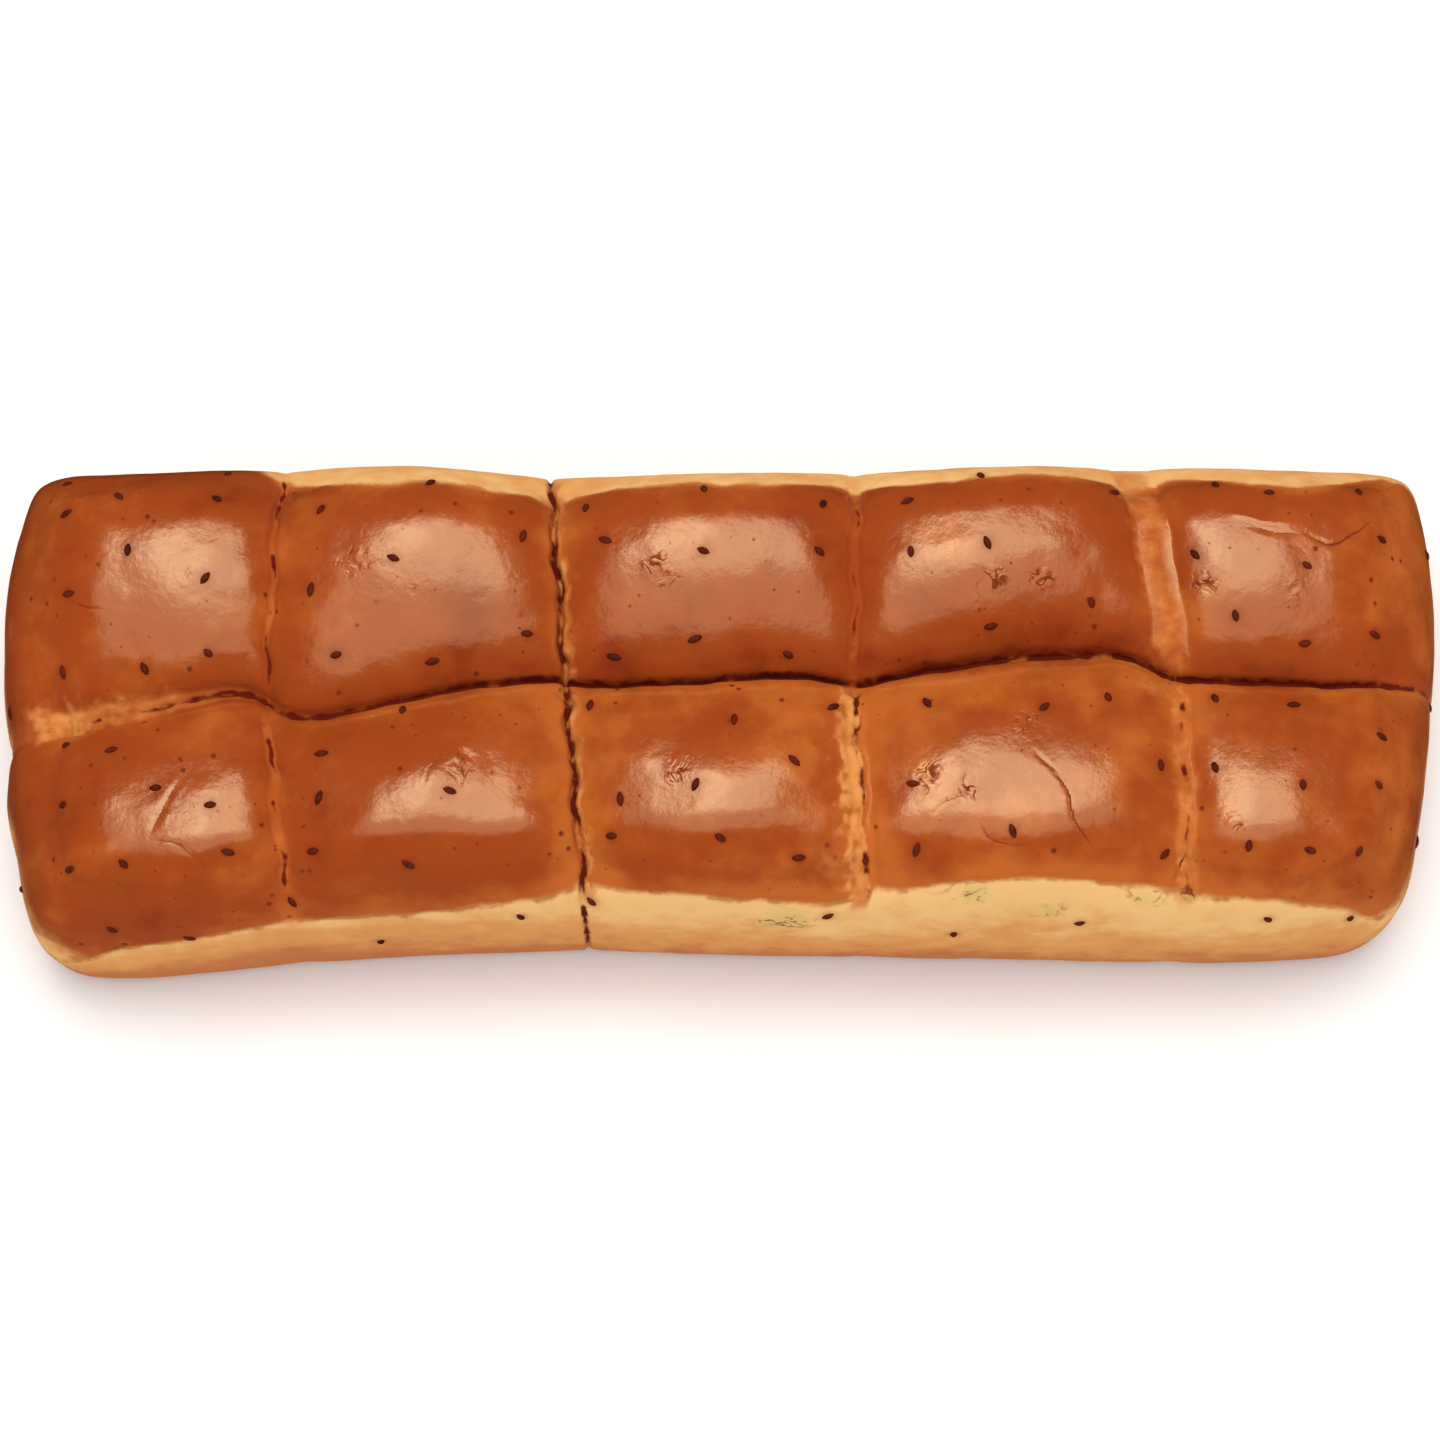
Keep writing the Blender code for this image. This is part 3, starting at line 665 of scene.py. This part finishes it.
def seed_spots():
    """Places of the aniseed on the box's skin with a turn and a half length for each."""
    draw = random.Random(SEED_DRAW)
    found = []

    def add(u, v, w):
        turn, half = draw.uniform(0.0, math.pi), draw.uniform(*SEED_HALF_LENGTH)
        if draw.random() >= SEED_EMPTY:
            found.append((u, v, w, turn, half))

    edges = (-LENGTH / 2, *SEAM_X, LENGTH / 2)
    across, deep = SEED_CELLS
    for left, right in zip(edges, edges[1:]):
        for side in (-1, 1):
            for a in range(across):
                for b in range(deep):
                    share_x = (a + draw.uniform(0.22, 0.78)) / across
                    share_y = (b + draw.uniform(0.22, 0.78)) / deep
                    add(left + (right - left) * share_x, side * WIDTH / 2 * share_y, HEIGHT)
    for wall, side in (("front", -1), ("back", 1)):
        count = SEED_WALL_CELLS[wall]
        for k in range(count):
            u = LENGTH * ((k + draw.uniform(0.2, 0.8)) / count - 0.5)
            add(u, side * WIDTH / 2, draw.uniform(0.30, 0.80) * HEIGHT)
    for side in (-1, 1):
        count = SEED_WALL_CELLS["end"]
        for k in range(count):
            v = WIDTH * ((k + draw.uniform(0.25, 0.75)) / count - 0.5)
            add(side * LENGTH / 2, v, draw.uniform(0.35, 0.75) * HEIGHT)
    return found


class Wire:
    """A node's output that takes part in Python arithmetic by adding Math nodes."""

    def __init__(self, graph, socket):
        self.graph = graph
        self.socket = socket

    def math(self, operation, *others, clamp=False):
        """The result of one Math node on this value and the others."""
        settings = {"operation": operation, "use_clamp": clamp}
        return self.graph.add("ShaderNodeMath", settings, {0: self, **dict(enumerate(others, 1))})

    def __add__(self, other):
        return self.math("ADD", other)

    __radd__ = __add__

    def __sub__(self, other):
        return self.math("SUBTRACT", other)

    def __rsub__(self, other):
        return self.graph.add("ShaderNodeMath", {"operation": "SUBTRACT"}, {0: other, 1: self})

    def __mul__(self, other):
        return self.math("MULTIPLY", other)

    __rmul__ = __mul__

    def __pow__(self, other):
        return self.math("POWER", other)

    def clamp(self):
        """The value held between 0 and 1."""
        return self.math("ADD", 0.0, clamp=True)

    def rise(self, low, high):
        """0 below low, 1 above high, an even S curve between."""
        return self.graph.add("ShaderNodeMapRange", {"interpolation_type": "SMOOTHSTEP"},
                              {"Value": self, "From Min": low, "From Max": high})


class Graph:
    """A node tree that nodes are added to by type, settings and socket values."""

    def __init__(self, tree):
        self.tree = tree

    def add(self, kind, settings=None, values=None, out=0):
        """A new node's output. Its settings come first, then values or links of its sockets."""
        node = self.tree.nodes.new(kind)
        for name, value in (settings or {}).items():
            setattr(node, name, value)
        self.fill(node, values or {})
        return Wire(self, node.outputs[out])

    def fill(self, node, values):
        """Feeds some of a node's sockets."""
        for key, value in values.items():
            self.feed(node.inputs[key], value)

    def feed(self, socket, value):
        """Links a wire to a socket, or sets its own value. A colour gets full alpha."""
        if isinstance(value, Wire):
            self.tree.links.new(value.socket, socket)
        elif socket.type == "RGBA":
            socket.default_value = (*value, 1.0)
        else:
            socket.default_value = value

    def attribute(self, name):
        """One of the mesh's own numbers."""
        return self.add("ShaderNodeAttribute", {"attribute_name": name}, out="Fac")

    def noise(self, coords, scale, detail=2.0, rough=0.5, twist=0.0):
        """Noise from 0 to 1 at a number of lumps for each metre."""
        return self.add("ShaderNodeTexNoise", None,
                        {"Vector": coords, "Scale": scale, "Detail": detail, "Roughness": rough,
                         "Distortion": twist})

    def specks(self, coords, scale, core, edge):
        """1 in small round specks, so many across a metre, 0 beyond their edges."""
        away = self.add("ShaderNodeTexVoronoi", {"feature": "F1"},
                        {"Vector": coords, "Scale": scale}, out="Distance")
        return 1.0 - away.rise(core, edge)

    def blend(self, share, first, second):
        """The first colour or wire, going over to the second with the share."""
        return self.add("ShaderNodeMix", {"data_type": "RGBA"},
                        {"Factor": share, 6: first, 7: second}, out=2)

    def bump(self, strength, distance, height):
        """The normal, tilted by a height."""
        return self.add("ShaderNodeBump", None,
                        {"Strength": strength, "Distance": distance, "Height": height})


def new_material(name):
    """A material with its graph, shader node and object coordinates."""
    material = bpy.data.materials.new(name)
    material.use_nodes = True
    graph = Graph(material.node_tree)
    shader = material.node_tree.nodes["Principled BSDF"]
    coords = graph.add("ShaderNodeTexCoord", out="Object")
    return material, graph, shader, coords


def crust_grains(graph, coords):
    """The noises that vary the crust and crumb, and fine hairlines drawn from them, where fold shade
    is painted.
    """
    grain = SimpleNamespace(
        **{name: graph.noise(coords, *values) for name, values in GRAINS.items()})
    lines = 1.0 - (grain.folds - 0.5).math("ABSOLUTE").rise(0.012, 0.045)
    grain.hairs = lines * grain.cloudy.rise(0.42, 0.55)
    return grain


def brown_crust(graph, coords, look, mask, grain):
    """Baked crust colour, with painted shade and light from the tone, and how plainly its burnt
    flecks show.
    """
    depth = mask.tone + (grain.broad - 0.5) * 0.70 + (grain.cloudy - 0.5) * 0.50
    brown = graph.blend(depth.rise(0.05, 0.50), look.crust_dark_and_shade, look.crust)
    brown = graph.blend(depth.rise(0.50, 1.00), brown, look.crust_light_and_lit)
    flecks = graph.specks(coords, 150.0, 0.050, 0.130) * grain.broad.rise(0.44, 0.50) * 0.85
    flecks += graph.specks(coords, 290.0, 0.060, 0.150) * grain.cloudy.rise(0.50, 0.56) * 0.65
    return graph.blend(flecks.clamp(), brown, look.speck_and_fold_shade), flecks


def pale_side(graph, look, mask, grain, wrinkled):
    """Colour of the pale side: creamy at the top, browner below, olive where it is wrinkled."""
    tone = (mask.side + (grain.cloudy - 0.5) * 0.6 + (grain.broad - 0.5) * 0.7).clamp()
    pale = graph.blend(tone.rise(0.10, 0.60), look.side_light, look.side)
    pale = graph.blend(tone.rise(0.55, 1.00), pale, look.side_low)
    return graph.blend(wrinkled * 0.45, pale, look.side_green)


def torn_crumb(graph, look, mask, grain):
    """Colour of the torn crumb, with painted shade in its hollows, and how plainly it shows."""
    tear, blotch, fine = mask.tear, grain.blotch - 0.5, grain.fine - 0.5
    shows = (tear + blotch * 0.9 * tear + fine * 0.25 * tear).rise(0.10, 0.90)
    fibres = graph.blend(grain.blotch.rise(0.28, 0.62), look.tear_hollow_shade, look.tear)
    light = (grain.cloudy + (tear - 0.7) * 0.6 + fine * 0.2).rise(0.42, 0.78)
    return graph.blend(light, fibres, look.tear_light), shows


def crack_shade_lines(graph, coords, mask, grain):
    """1 where shade is painted along the bottom of the open seams and in the cracks of single buns.
    """
    blotch = grain.blotch - 0.5
    edge = mask.seam - mask.gap * 0.45 + blotch * 1.5 + (grain.fine - 0.5) * 0.5
    dashes = (graph.noise(coords, 130.0) + mask.gap * 0.30).rise(0.60, 0.70)
    seams = (1.0 - edge.rise(-0.15, 0.35)) * dashes * mask.gap.rise(0.0, 0.20)
    away = (mask.crease + (grain.cloudy - 0.5) * 1.6 + blotch * 0.7).math("ABSOLUTE")
    cracks = (1.0 - away.rise(0.10, 0.42)) * mask.crack * grain.blotch.rise(0.30, 0.50)
    return (seams + cracks).clamp()


def crust_material(look):
    """Glazed brown crust over torn crumb and pale sides, worked from the loaf's own masks."""
    material, graph, glaze, coords = new_material("crust")
    mask = SimpleNamespace(**{name: graph.attribute(name) for name in MASKS})
    grain = crust_grains(graph, coords)
    cloudy, fine = grain.cloudy - 0.5, grain.fine - 0.5
    wrinkled = (mask.wrinkle + cloudy * 1.3 + (grain.broad - 0.5) * 0.8).rise(0.35, 0.95)
    # Painted shade along the hairline folds of the wrinkled spots.
    wrinkles = wrinkled * grain.hairs
    crust_share = (mask.bake + cloudy * 0.45 + fine * 0.20).rise(0.12, 0.88)
    rim = crust_share * (1.0 - crust_share) * (3.0 * grain.cloudy.rise(0.45, 0.60))
    brown, flecks = brown_crust(graph, coords, look, mask, grain)
    fibres, torn_share = torn_crumb(graph, look, mask, grain)
    dark = crack_shade_lines(graph, coords, mask, grain)

    surface = graph.blend(crust_share, pale_side(graph, look, mask, grain, wrinkled), brown)
    for share, over in ((rim.clamp(), look.rim), (torn_share * 0.92, fibres),
                        (mask.stain * 0.50, look.crust_dark_and_shade),
                        ((wrinkles * 0.75).clamp(), look.speck_and_fold_shade), (dark, look.gap),
                        (mask.pit.rise(0.30, 0.80), look.pit)):
        surface = graph.blend(share, surface, over)

    height = grain.cloudy * 0.17 + grain.fine * 0.09
    height += torn_share * ((grain.blotch - 0.5) * 0.50 + fine * 0.25)
    height += wrinkled * ((grain.folds - 0.5) * 0.9 - grain.hairs * 0.20)
    bump = graph.bump(*CRUST_BUMP, height - dark * 0.10)
    scratched = (flecks + wrinkles + dark + mask.stain * 0.5).clamp()
    glazed = crust_share * mask.glossy * (1.0 - torn_share * 0.8) * (1.0 - scratched)
    glazed *= mask.seam.rise(0.8, 3.2)
    crumb = material.node_tree.nodes.new("ShaderNodeBsdfPrincipled")
    for shader in (crumb, glaze):
        graph.fill(shader, {"Base Color": surface, "Normal": bump})
    graph.fill(crumb, CRUMB_FINISH)
    graph.fill(glaze, GLAZE_COAT)
    graph.fill(glaze, {"Roughness": look.gloss + fine * 0.12, "Specular IOR Level": look.shine,
                       "Specular Tint": look.sheen})
    both = graph.add("ShaderNodeMixShader", None, {0: glazed, 1: Wire(graph, crumb.outputs[0]),
                                                   2: Wire(graph, glaze.outputs[0])})
    graph.fill(material.node_tree.nodes["Material Output"], {"Surface": both})
    return material


def seed_material(look):
    """Dark aniseed under the same glaze."""
    material, graph, shader, coords = new_material("aniseed")
    streak = graph.noise(coords, 900.0)
    patch = graph.noise(coords, 90.0, 1.0)
    skin = graph.blend((streak * 0.5 + patch * 0.7).rise(0.35, 0.85), look.seed_dark, look.seed)
    graph.fill(shader, {"Base Color": skin, "Roughness": 0.45 + streak * 0.25,
                        "Specular IOR Level": SEED_SHINE,
                        "Normal": graph.bump(*SEED_BUMP, streak)})
    return material


def floor_material(look):
    """Plain pale floor."""
    material, graph, shader, _ = new_material("floor")
    graph.fill(shader, {"Base Color": look.floor, "Roughness": FLOOR_ROUGHNESS})
    return material


def seed_tree(material):
    """Geometry nodes that put one ribbed oval on every point, lying as the point says."""
    tree = bpy.data.node_groups.new("scatter_aniseed", "GeometryNodeTree")
    tree.interface.new_socket("Geometry", in_out="OUTPUT", socket_type="NodeSocketGeometry")
    tree.interface.new_socket("Points", in_out="INPUT", socket_type="NodeSocketGeometry")
    for name in SEED_INPUTS:
        tree.interface.new_socket(name, in_out="INPUT", socket_type="NodeSocketFloat")
    graph = Graph(tree)
    given = tree.nodes.new("NodeGroupInput")
    inputs = {socket.name: Wire(graph, socket) for socket in given.outputs if socket.name}

    ball = graph.add("GeometryNodeMeshUVSphere", None, {"Segments": SEED_SEGMENTS,
                                                        "Rings": SEED_RINGS, "Radius": 1.0})
    ball = graph.add("GeometryNodeTransform", None,
                     {"Geometry": ball, "Rotation": (0.0, math.pi / 2, 0.0)})
    spot = graph.add("GeometryNodeInputPosition")
    split = graph.add("ShaderNodeSeparateXYZ", None, {0: spot}).socket.node
    x, y, z = (Wire(graph, split.outputs[n]) for n in range(3))
    angle = z.math("ARCTAN2", y)
    rib = 1.0 + (angle * SEED_RIBS).math("COSINE") * inputs["Rib Depth"]
    pinch = 1.0 - x.math("ABSOLUTE") ** 3.0 * inputs["Tip Pinch"]
    ribbed = graph.add("ShaderNodeCombineXYZ", None,
                       {0: x, 1: y * rib * pinch, 2: z * rib * pinch})
    ball = graph.add("GeometryNodeSetPosition", None, {"Geometry": ball, "Position": ribbed})
    lie = graph.add("GeometryNodeInputNamedAttribute", {"data_type": "FLOAT_VECTOR"},
                    {"Name": "lie"})
    half = graph.add("GeometryNodeInputNamedAttribute", {"data_type": "FLOAT"},
                     {"Name": "half_length"})
    size = graph.add("ShaderNodeCombineXYZ", None,
                     {0: half, 1: inputs["Half Width"], 2: inputs["Half Height"]})
    seeds = graph.add("GeometryNodeInstanceOnPoints", None,
                      {"Points": inputs["Points"], "Instance": ball, "Rotation": lie,
                       "Scale": size})
    seeds = graph.add("GeometryNodeRealizeInstances", None, {"Geometry": seeds})
    seeds = graph.add("GeometryNodeSetShadeSmooth", None, {"Geometry": seeds})
    seeds = graph.add("GeometryNodeSetMaterial", None, {"Geometry": seeds, "Material": material})
    graph.fill(tree.nodes.new("NodeGroupOutput"), {0: seeds})
    return tree


def set_input(modifier, name, value):
    """Sets a geometry nodes modifier's input by the identifier of its named socket."""
    for item in modifier.node_group.interface.items_tree:
        if item.name == name and item.in_out == "INPUT":
            modifier[item.identifier] = value
            return
    raise KeyError(name)


def plain_mesh(obj):
    """The evaluated object as a plain mesh, in place of its mesh and modifiers."""
    graph = bpy.context.evaluated_depsgraph_get()
    mesh = bpy.data.meshes.new_from_object(obj.evaluated_get(graph))
    obj.modifiers.clear()
    obj.data = mesh
    return obj


def put(scene, name, data):
    """A new object in the scene."""
    obj = bpy.data.objects.new(name, data)
    scene.collection.objects.link(obj)
    return obj


def carry(piece):
    """Puts a finished piece in the frame: it rides on the loaf's body and stands for its node."""
    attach(piece, BODY)
    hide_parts(NODE)


def paint(name, description, *default):
    """A colour setting."""
    return FloatVectorProperty(name=name, description=description, subtype="COLOR",
                               default=default)


def length(name, description, default):
    """A setting of a length, shown to a thousandth of a millimetre."""
    return FloatProperty(name=name, description=description, default=default, unit="LENGTH",
                         precision=6)


def factor(name, description, default):
    """A setting from 0 to 1."""
    return FloatProperty(name=name, description=description, default=default, min=0.0, max=1.0,
                         subtype="FACTOR")


def brightness(name, description, default):
    """A setting of a light's brightness."""
    return FloatProperty(name=name, description=description, default=default, min=0.0)


class LoafLook(bpy.types.PropertyGroup):
    """Colours and relief of the crust and sides."""

    cuts: IntProperty(name="Cuts", description="Mesh cuts in half a bun", default=38, min=8)
    crust: paint("Crust", "Most of the baked crust", 0.330, 0.053, 0.0075)
    # The dark crust also carries the painted shade on the back row's slope into the row seam, and the
    # light crust carries the painted light on the front row's slope and toward the ends.
    crust_dark_and_shade: paint("Dark crust", "Darkest baked patches", 0.215, 0.020, 0.0030)
    crust_light_and_lit: paint("Light crust", "Crust beside seams", 0.50, 0.120, 0.018)
    # Burnt specks, and the painted shade in the fine hairline folds.
    speck_and_fold_shade: paint("Fleck", "Small burnt specks and hairlines", 0.115, 0.013, 0.0035)
    side: paint("Side", "Middle of the pale sides", 0.66, 0.290, 0.080)
    side_light: paint("Light side", "Sides under the crust's edge", 0.78, 0.470, 0.180)
    side_low: paint("Low side", "Sides near the base", 0.52, 0.170, 0.052)
    tear: paint("Tear", "Torn crumb along the seams", 0.52, 0.155, 0.032)
    # Painted shade in the hollows of the torn crumb, where the bump sinks it.
    tear_hollow_shade: paint("Deep tear", "Hollows of the torn crumb", 0.40, 0.085, 0.013)
    tear_light: paint("Light tear", "Palest torn crumb", 0.70, 0.285, 0.075)
    side_green: paint("Wrinkled side", "Olive of its wrinkles", 0.55, 0.43, 0.130)
    rim: paint("Rim", "Edge between the crust and the pale side", 0.42, 0.150, 0.035)
    # Painted shade at the bottom of the open cracks and creases, over their dark red crust.
    gap: paint("Gap", "Dark of the open cracks", 0.120, 0.008, 0.0020)
    # Painted shade in the hollows where four buns meet.
    pit: paint("Pit", "Greyish pits where four buns meet", 0.130, 0.090, 0.035)
    sheen: paint("Sheen", "Tint of the soft sheen in the crust", 1.0, 0.82, 0.50)
    shine: factor("Shine", "Strength of the egg glaze's reflection", 0.72)
    gloss: factor("Glaze roughness", "Roughness of the egg glaze", 0.20)
    lump_height: length("Lumps", "Height of the low lumps of the crust", 0.00016)
    skin_height: length("Skin", "Height of the crust's fine unevenness", 0.000025)
    tear_height: length("Torn crumb", "Height of the torn fibres", 0.0003)
    crease_depth: factor("Creases", "Share of the creases' full depth", 0.16)
    fold_height: factor("Folds", "Share of the folds' full height", 0.50)


class SeedLook(bpy.types.PropertyGroup):
    """Sizes and colours of the aniseed."""

    half_width: length("Half width", "Half the width of a seed", 0.00080)
    half_height: length("Half height", "Half the height of a seed", 0.00075)
    sunk: length("Sunk", "How far a seed's middle lies in the crust", 0.00010)
    rib_depth: factor("Ribs", "Depth of the ribs, as a share of width", 0.08)
    tip_pinch: factor("Tips", "How far the tips are pinched", 0.45)
    seed: paint("Seed", "Lighter aniseed", 0.130, 0.014, 0.003)
    seed_dark: paint("Dark seed", "Darker aniseed", 0.055, 0.006, 0.002)


class StageLook(bpy.types.PropertyGroup):
    """Floor, lights and camera."""

    floor: paint("Floor", "Colour of the floor", 0.92, 0.93, 0.96)
    sky: brightness("Surround", "Brightness of the plain white surround", 0.63)
    softbox: brightness("Softbox", "Brightness of the softbox's face", 1.75)
    softbox_core: brightness("Softbox core", "Extra brightness of its core", 3.4)
    glint: brightness("Glint", "Extra brightness of the core's upper left", 3.0)
    front_fill: brightness("Fill", "Brightness of the low front light's face", 2.35)
    warmth: paint("Light colour", "Colour of the softbox", 1.0, 0.96, 0.88)
    elevation: FloatProperty(name="Elevation", description="Camera's angle above the floor",
                             default=math.radians(73.0), unit="ROTATION", subtype="ANGLE")
    distance: length("Distance", "Camera's distance from its aim", 0.871)
    aim_y: length("Aim", "Where across the loaf the camera aims", -0.0028)
    aim_z: length("Aim height", "Height that the camera aims at", 0.030)
    lens: FloatProperty(name="Lens", description="Focal length in millimetres", default=100.0)


class MOSBOLLETJIE_OT_bake_loaf(bpy.types.Operator):
    """Shape the loaf and give it its crust."""

    bl_idname = "mosbolletjie.bake_loaf"
    bl_label = "Bake loaf"

    def execute(self, context):
        look = context.scene.loaf_look
        points, faces, middle = plain_skin(look.cuts)
        mesh = bpy.data.meshes.new("loaf")
        mesh.from_pydata(points.tolist(), [], faces)
        bm = bmesh.new()
        bm.from_mesh(mesh)
        refine_creases(bm, middle)
        bmesh.ops.recalc_face_normals(bm, faces=bm.faces)
        bm.to_mesh(mesh)
        bm.free()

        u, v, w = mesh_numbers(mesh.vertices, "co").T
        placed = loaf_points(u, v, w) - middle
        place_points(mesh, placed)
        ragged = noise_at(placed, 2.6 * MM, 2, 3)
        patchy = smoothstep(-0.3, 0.3, noise_at(placed, 8 * MM, 1, 6))
        tear = tear_mask(u, v, w, placed, ragged, patchy)
        lift, crease, crack = relief(w, placed, tear, ragged, look)
        placed += mesh_numbers(mesh.vertex_normals, "vector") * lift[:, None]
        place_points(mesh, np.clip(placed, *CAD_BOX))

        up = mesh_numbers(mesh.vertex_normals, "vector")[:, 2]
        seeds = loaf_points(*np.array(seed_spots())[:, :3].T) - middle
        seam, gap = seam_lines(u, v, w)
        masks = {
            "bake": bake_mask(u, v, w, noise_at(placed, 7 * MM, 3, 5)), "tear": tear,
            "seam": seam, "gap": gap, "crease": crease, "crack": crack,
            "tone": tone_and_shade_mask(u, v, w, noise_at(placed, 14 * MM, 2, 4)),
            "side": side_mask(u, v, w), "glossy": 0.2 + 0.8 * smoothstep(0.10, 0.55, up),
            "stain": stain_mask(placed, seeds),
            "wrinkle": spots(placed, WRINKLED), "pit": spots(placed, PITS),
        }
        for name in MASKS:
            add_attribute(mesh, name, masks[name])
        mesh.shade_smooth()
        mesh.materials.append(crust_material(look))
        carry(put(context.scene, "loaf", mesh))
        return {"FINISHED"}


class MOSBOLLETJIE_OT_scatter_aniseed(bpy.types.Operator):
    """Scatter the aniseed over the loaf."""

    bl_idname = "mosbolletjie.scatter_aniseed"
    bl_label = "Scatter aniseed"

    def execute(self, context):
        look = context.scene.seed_look
        loaf = bpy.data.objects["loaf"]
        tree = BVHTree.FromObject(loaf, context.evaluated_depsgraph_get())
        middle = plain_skin(context.scene.loaf_look.cuts)[2]
        found = seed_spots()
        starts = loaf_points(*np.array(found)[:, :3].T) - middle
        places, lies = [], []
        for start, (*_, turn, _) in zip(starts, found):
            spot, normal, _, _ = tree.find_nearest(Vector(start))
            lie = normal.to_track_quat("Z", "Y") @ Quaternion((0.0, 0.0, 1.0), turn)
            places.append(spot - normal * look.sunk)
            lies.append(lie.to_euler())
        mesh = bpy.data.meshes.new("aniseed")
        mesh.from_pydata(places, [], [])
        layer = mesh.attributes.new("lie", "FLOAT_VECTOR", "POINT")
        layer.data.foreach_set("vector", np.array(lies, np.float32).ravel())
        add_attribute(mesh, "half_length", [half for *_, half in found])
        seeds = put(context.scene, "aniseed", mesh)
        scatter = seeds.modifiers.new("scatter", "NODES")
        scatter.node_group = seed_tree(seed_material(look))
        for name, setting in SEED_INPUTS.items():
            set_input(scatter, name, getattr(look, setting))
        carry(plain_mesh(seeds))
        return {"FINISHED"}


class MOSBOLLETJIE_OT_set_stage(bpy.types.Operator):
    """Lay the pale floor, and set up the soft studio light and the camera."""

    bl_idname = "mosbolletjie.set_stage"
    bl_label = "Set stage"

    def execute(self, context):
        look = context.scene.stage_look
        scene = context.scene
        scene.view_settings.view_transform = "Standard"
        bm = bmesh.new()
        bmesh.ops.create_grid(bm, x_segments=1, y_segments=1, size=FLOOR_REACH)
        mesh = bpy.data.meshes.new("floor")
        bm.to_mesh(mesh)
        bm.free()
        mesh.materials.append(floor_material(look))
        floor = put(scene, "floor", mesh)
        floor.location.z = -FLOOR_DROP
        floor.visible_glossy = False

        world = bpy.data.worlds.new("surround")
        world.use_nodes = True
        world.node_tree.nodes["Background"].inputs["Color"].default_value = (1, 1, 1, 1)
        world.node_tree.nodes["Background"].inputs["Strength"].default_value = look.sky
        scene.world = world
        world.cycles_visibility.glossy = False
        for name, (tilt, half_angles) in LIGHTS.items():
            light = area_light(scene, name, tilt, half_angles, getattr(look, name), look.warmth)
            light.visible_glossy = name != "front_fill"

        aim = Vector((0.0, look.aim_y, look.aim_z))
        back = Vector((0.0, -math.cos(look.elevation), math.sin(look.elevation)))
        data = bpy.data.cameras.new("camera")
        data.lens = look.lens
        data.clip_start = 0.01
        camera = put(scene, "camera", data)
        camera.location = aim + back * look.distance
        camera.rotation_euler = back.to_track_quat("Z", "Y").to_euler()
        scene.camera = camera
        return {"FINISHED"}


def area_light(scene, name, tilt, half_angles, strength, tint):
    """A soft light that faces the loaf, as bright as asked at its face.

    The tilt is how far from overhead it stands, to the right and to the back. The half angles
    are how far it reaches each way, seen from the loaf. All are in degrees.
    """
    right, back = (math.tan(math.radians(angle)) for angle in tilt)
    data = bpy.data.lights.new(name, "AREA")
    data.shape = "ELLIPSE"
    data.size, data.size_y = (2 * LIGHT_DISTANCE * math.tan(math.radians(angle))
                              for angle in half_angles)
    data.color = tint
    data.energy = strength * math.pi ** 2 / 4 * data.size * data.size_y
    light = put(scene, name, data)
    light.location = Vector((right, back, 1.0)).normalized() * LIGHT_DISTANCE
    light.rotation_euler = light.location.to_track_quat("Z", "Y").to_euler()
    return light


class MOSBOLLETJIE_PT_panel(bpy.types.Panel):
    """Settings and steps of the loaf."""

    bl_label = "Mosbolletjie loaf"
    bl_space_type = "VIEW_3D"
    bl_region_type = "UI"
    bl_category = "Loaf"

    def draw(self, context):
        for look in LOOKS:
            group = getattr(context.scene, look)
            for name in group.__annotations__:
                self.layout.prop(group, name)
        for step in STEPS:
            self.layout.operator(step.bl_idname)


STEPS = (MOSBOLLETJIE_OT_bake_loaf, MOSBOLLETJIE_OT_scatter_aniseed, MOSBOLLETJIE_OT_set_stage)
LOOKS = {"loaf_look": LoafLook, "seed_look": SeedLook, "stage_look": StageLook}
CLASSES = (*LOOKS.values(), *STEPS, MOSBOLLETJIE_PT_panel)


def register():
    """Adds the settings, steps and panel."""
    for item in CLASSES:
        bpy.utils.register_class(item)
    for name, look in LOOKS.items():
        setattr(bpy.types.Scene, name, PointerProperty(type=look))


def unregister():
    """Takes the settings, steps and panel away again."""
    for name in LOOKS:
        delattr(bpy.types.Scene, name)
    for item in reversed(CLASSES):
        bpy.utils.unregister_class(item)


def main():
    """Makes the whole scene."""
    register()
    bpy.ops.mosbolletjie.bake_loaf()
    bpy.ops.mosbolletjie.scatter_aniseed()
    bpy.ops.mosbolletjie.set_stage()


if __name__ == "__main__":
    main()
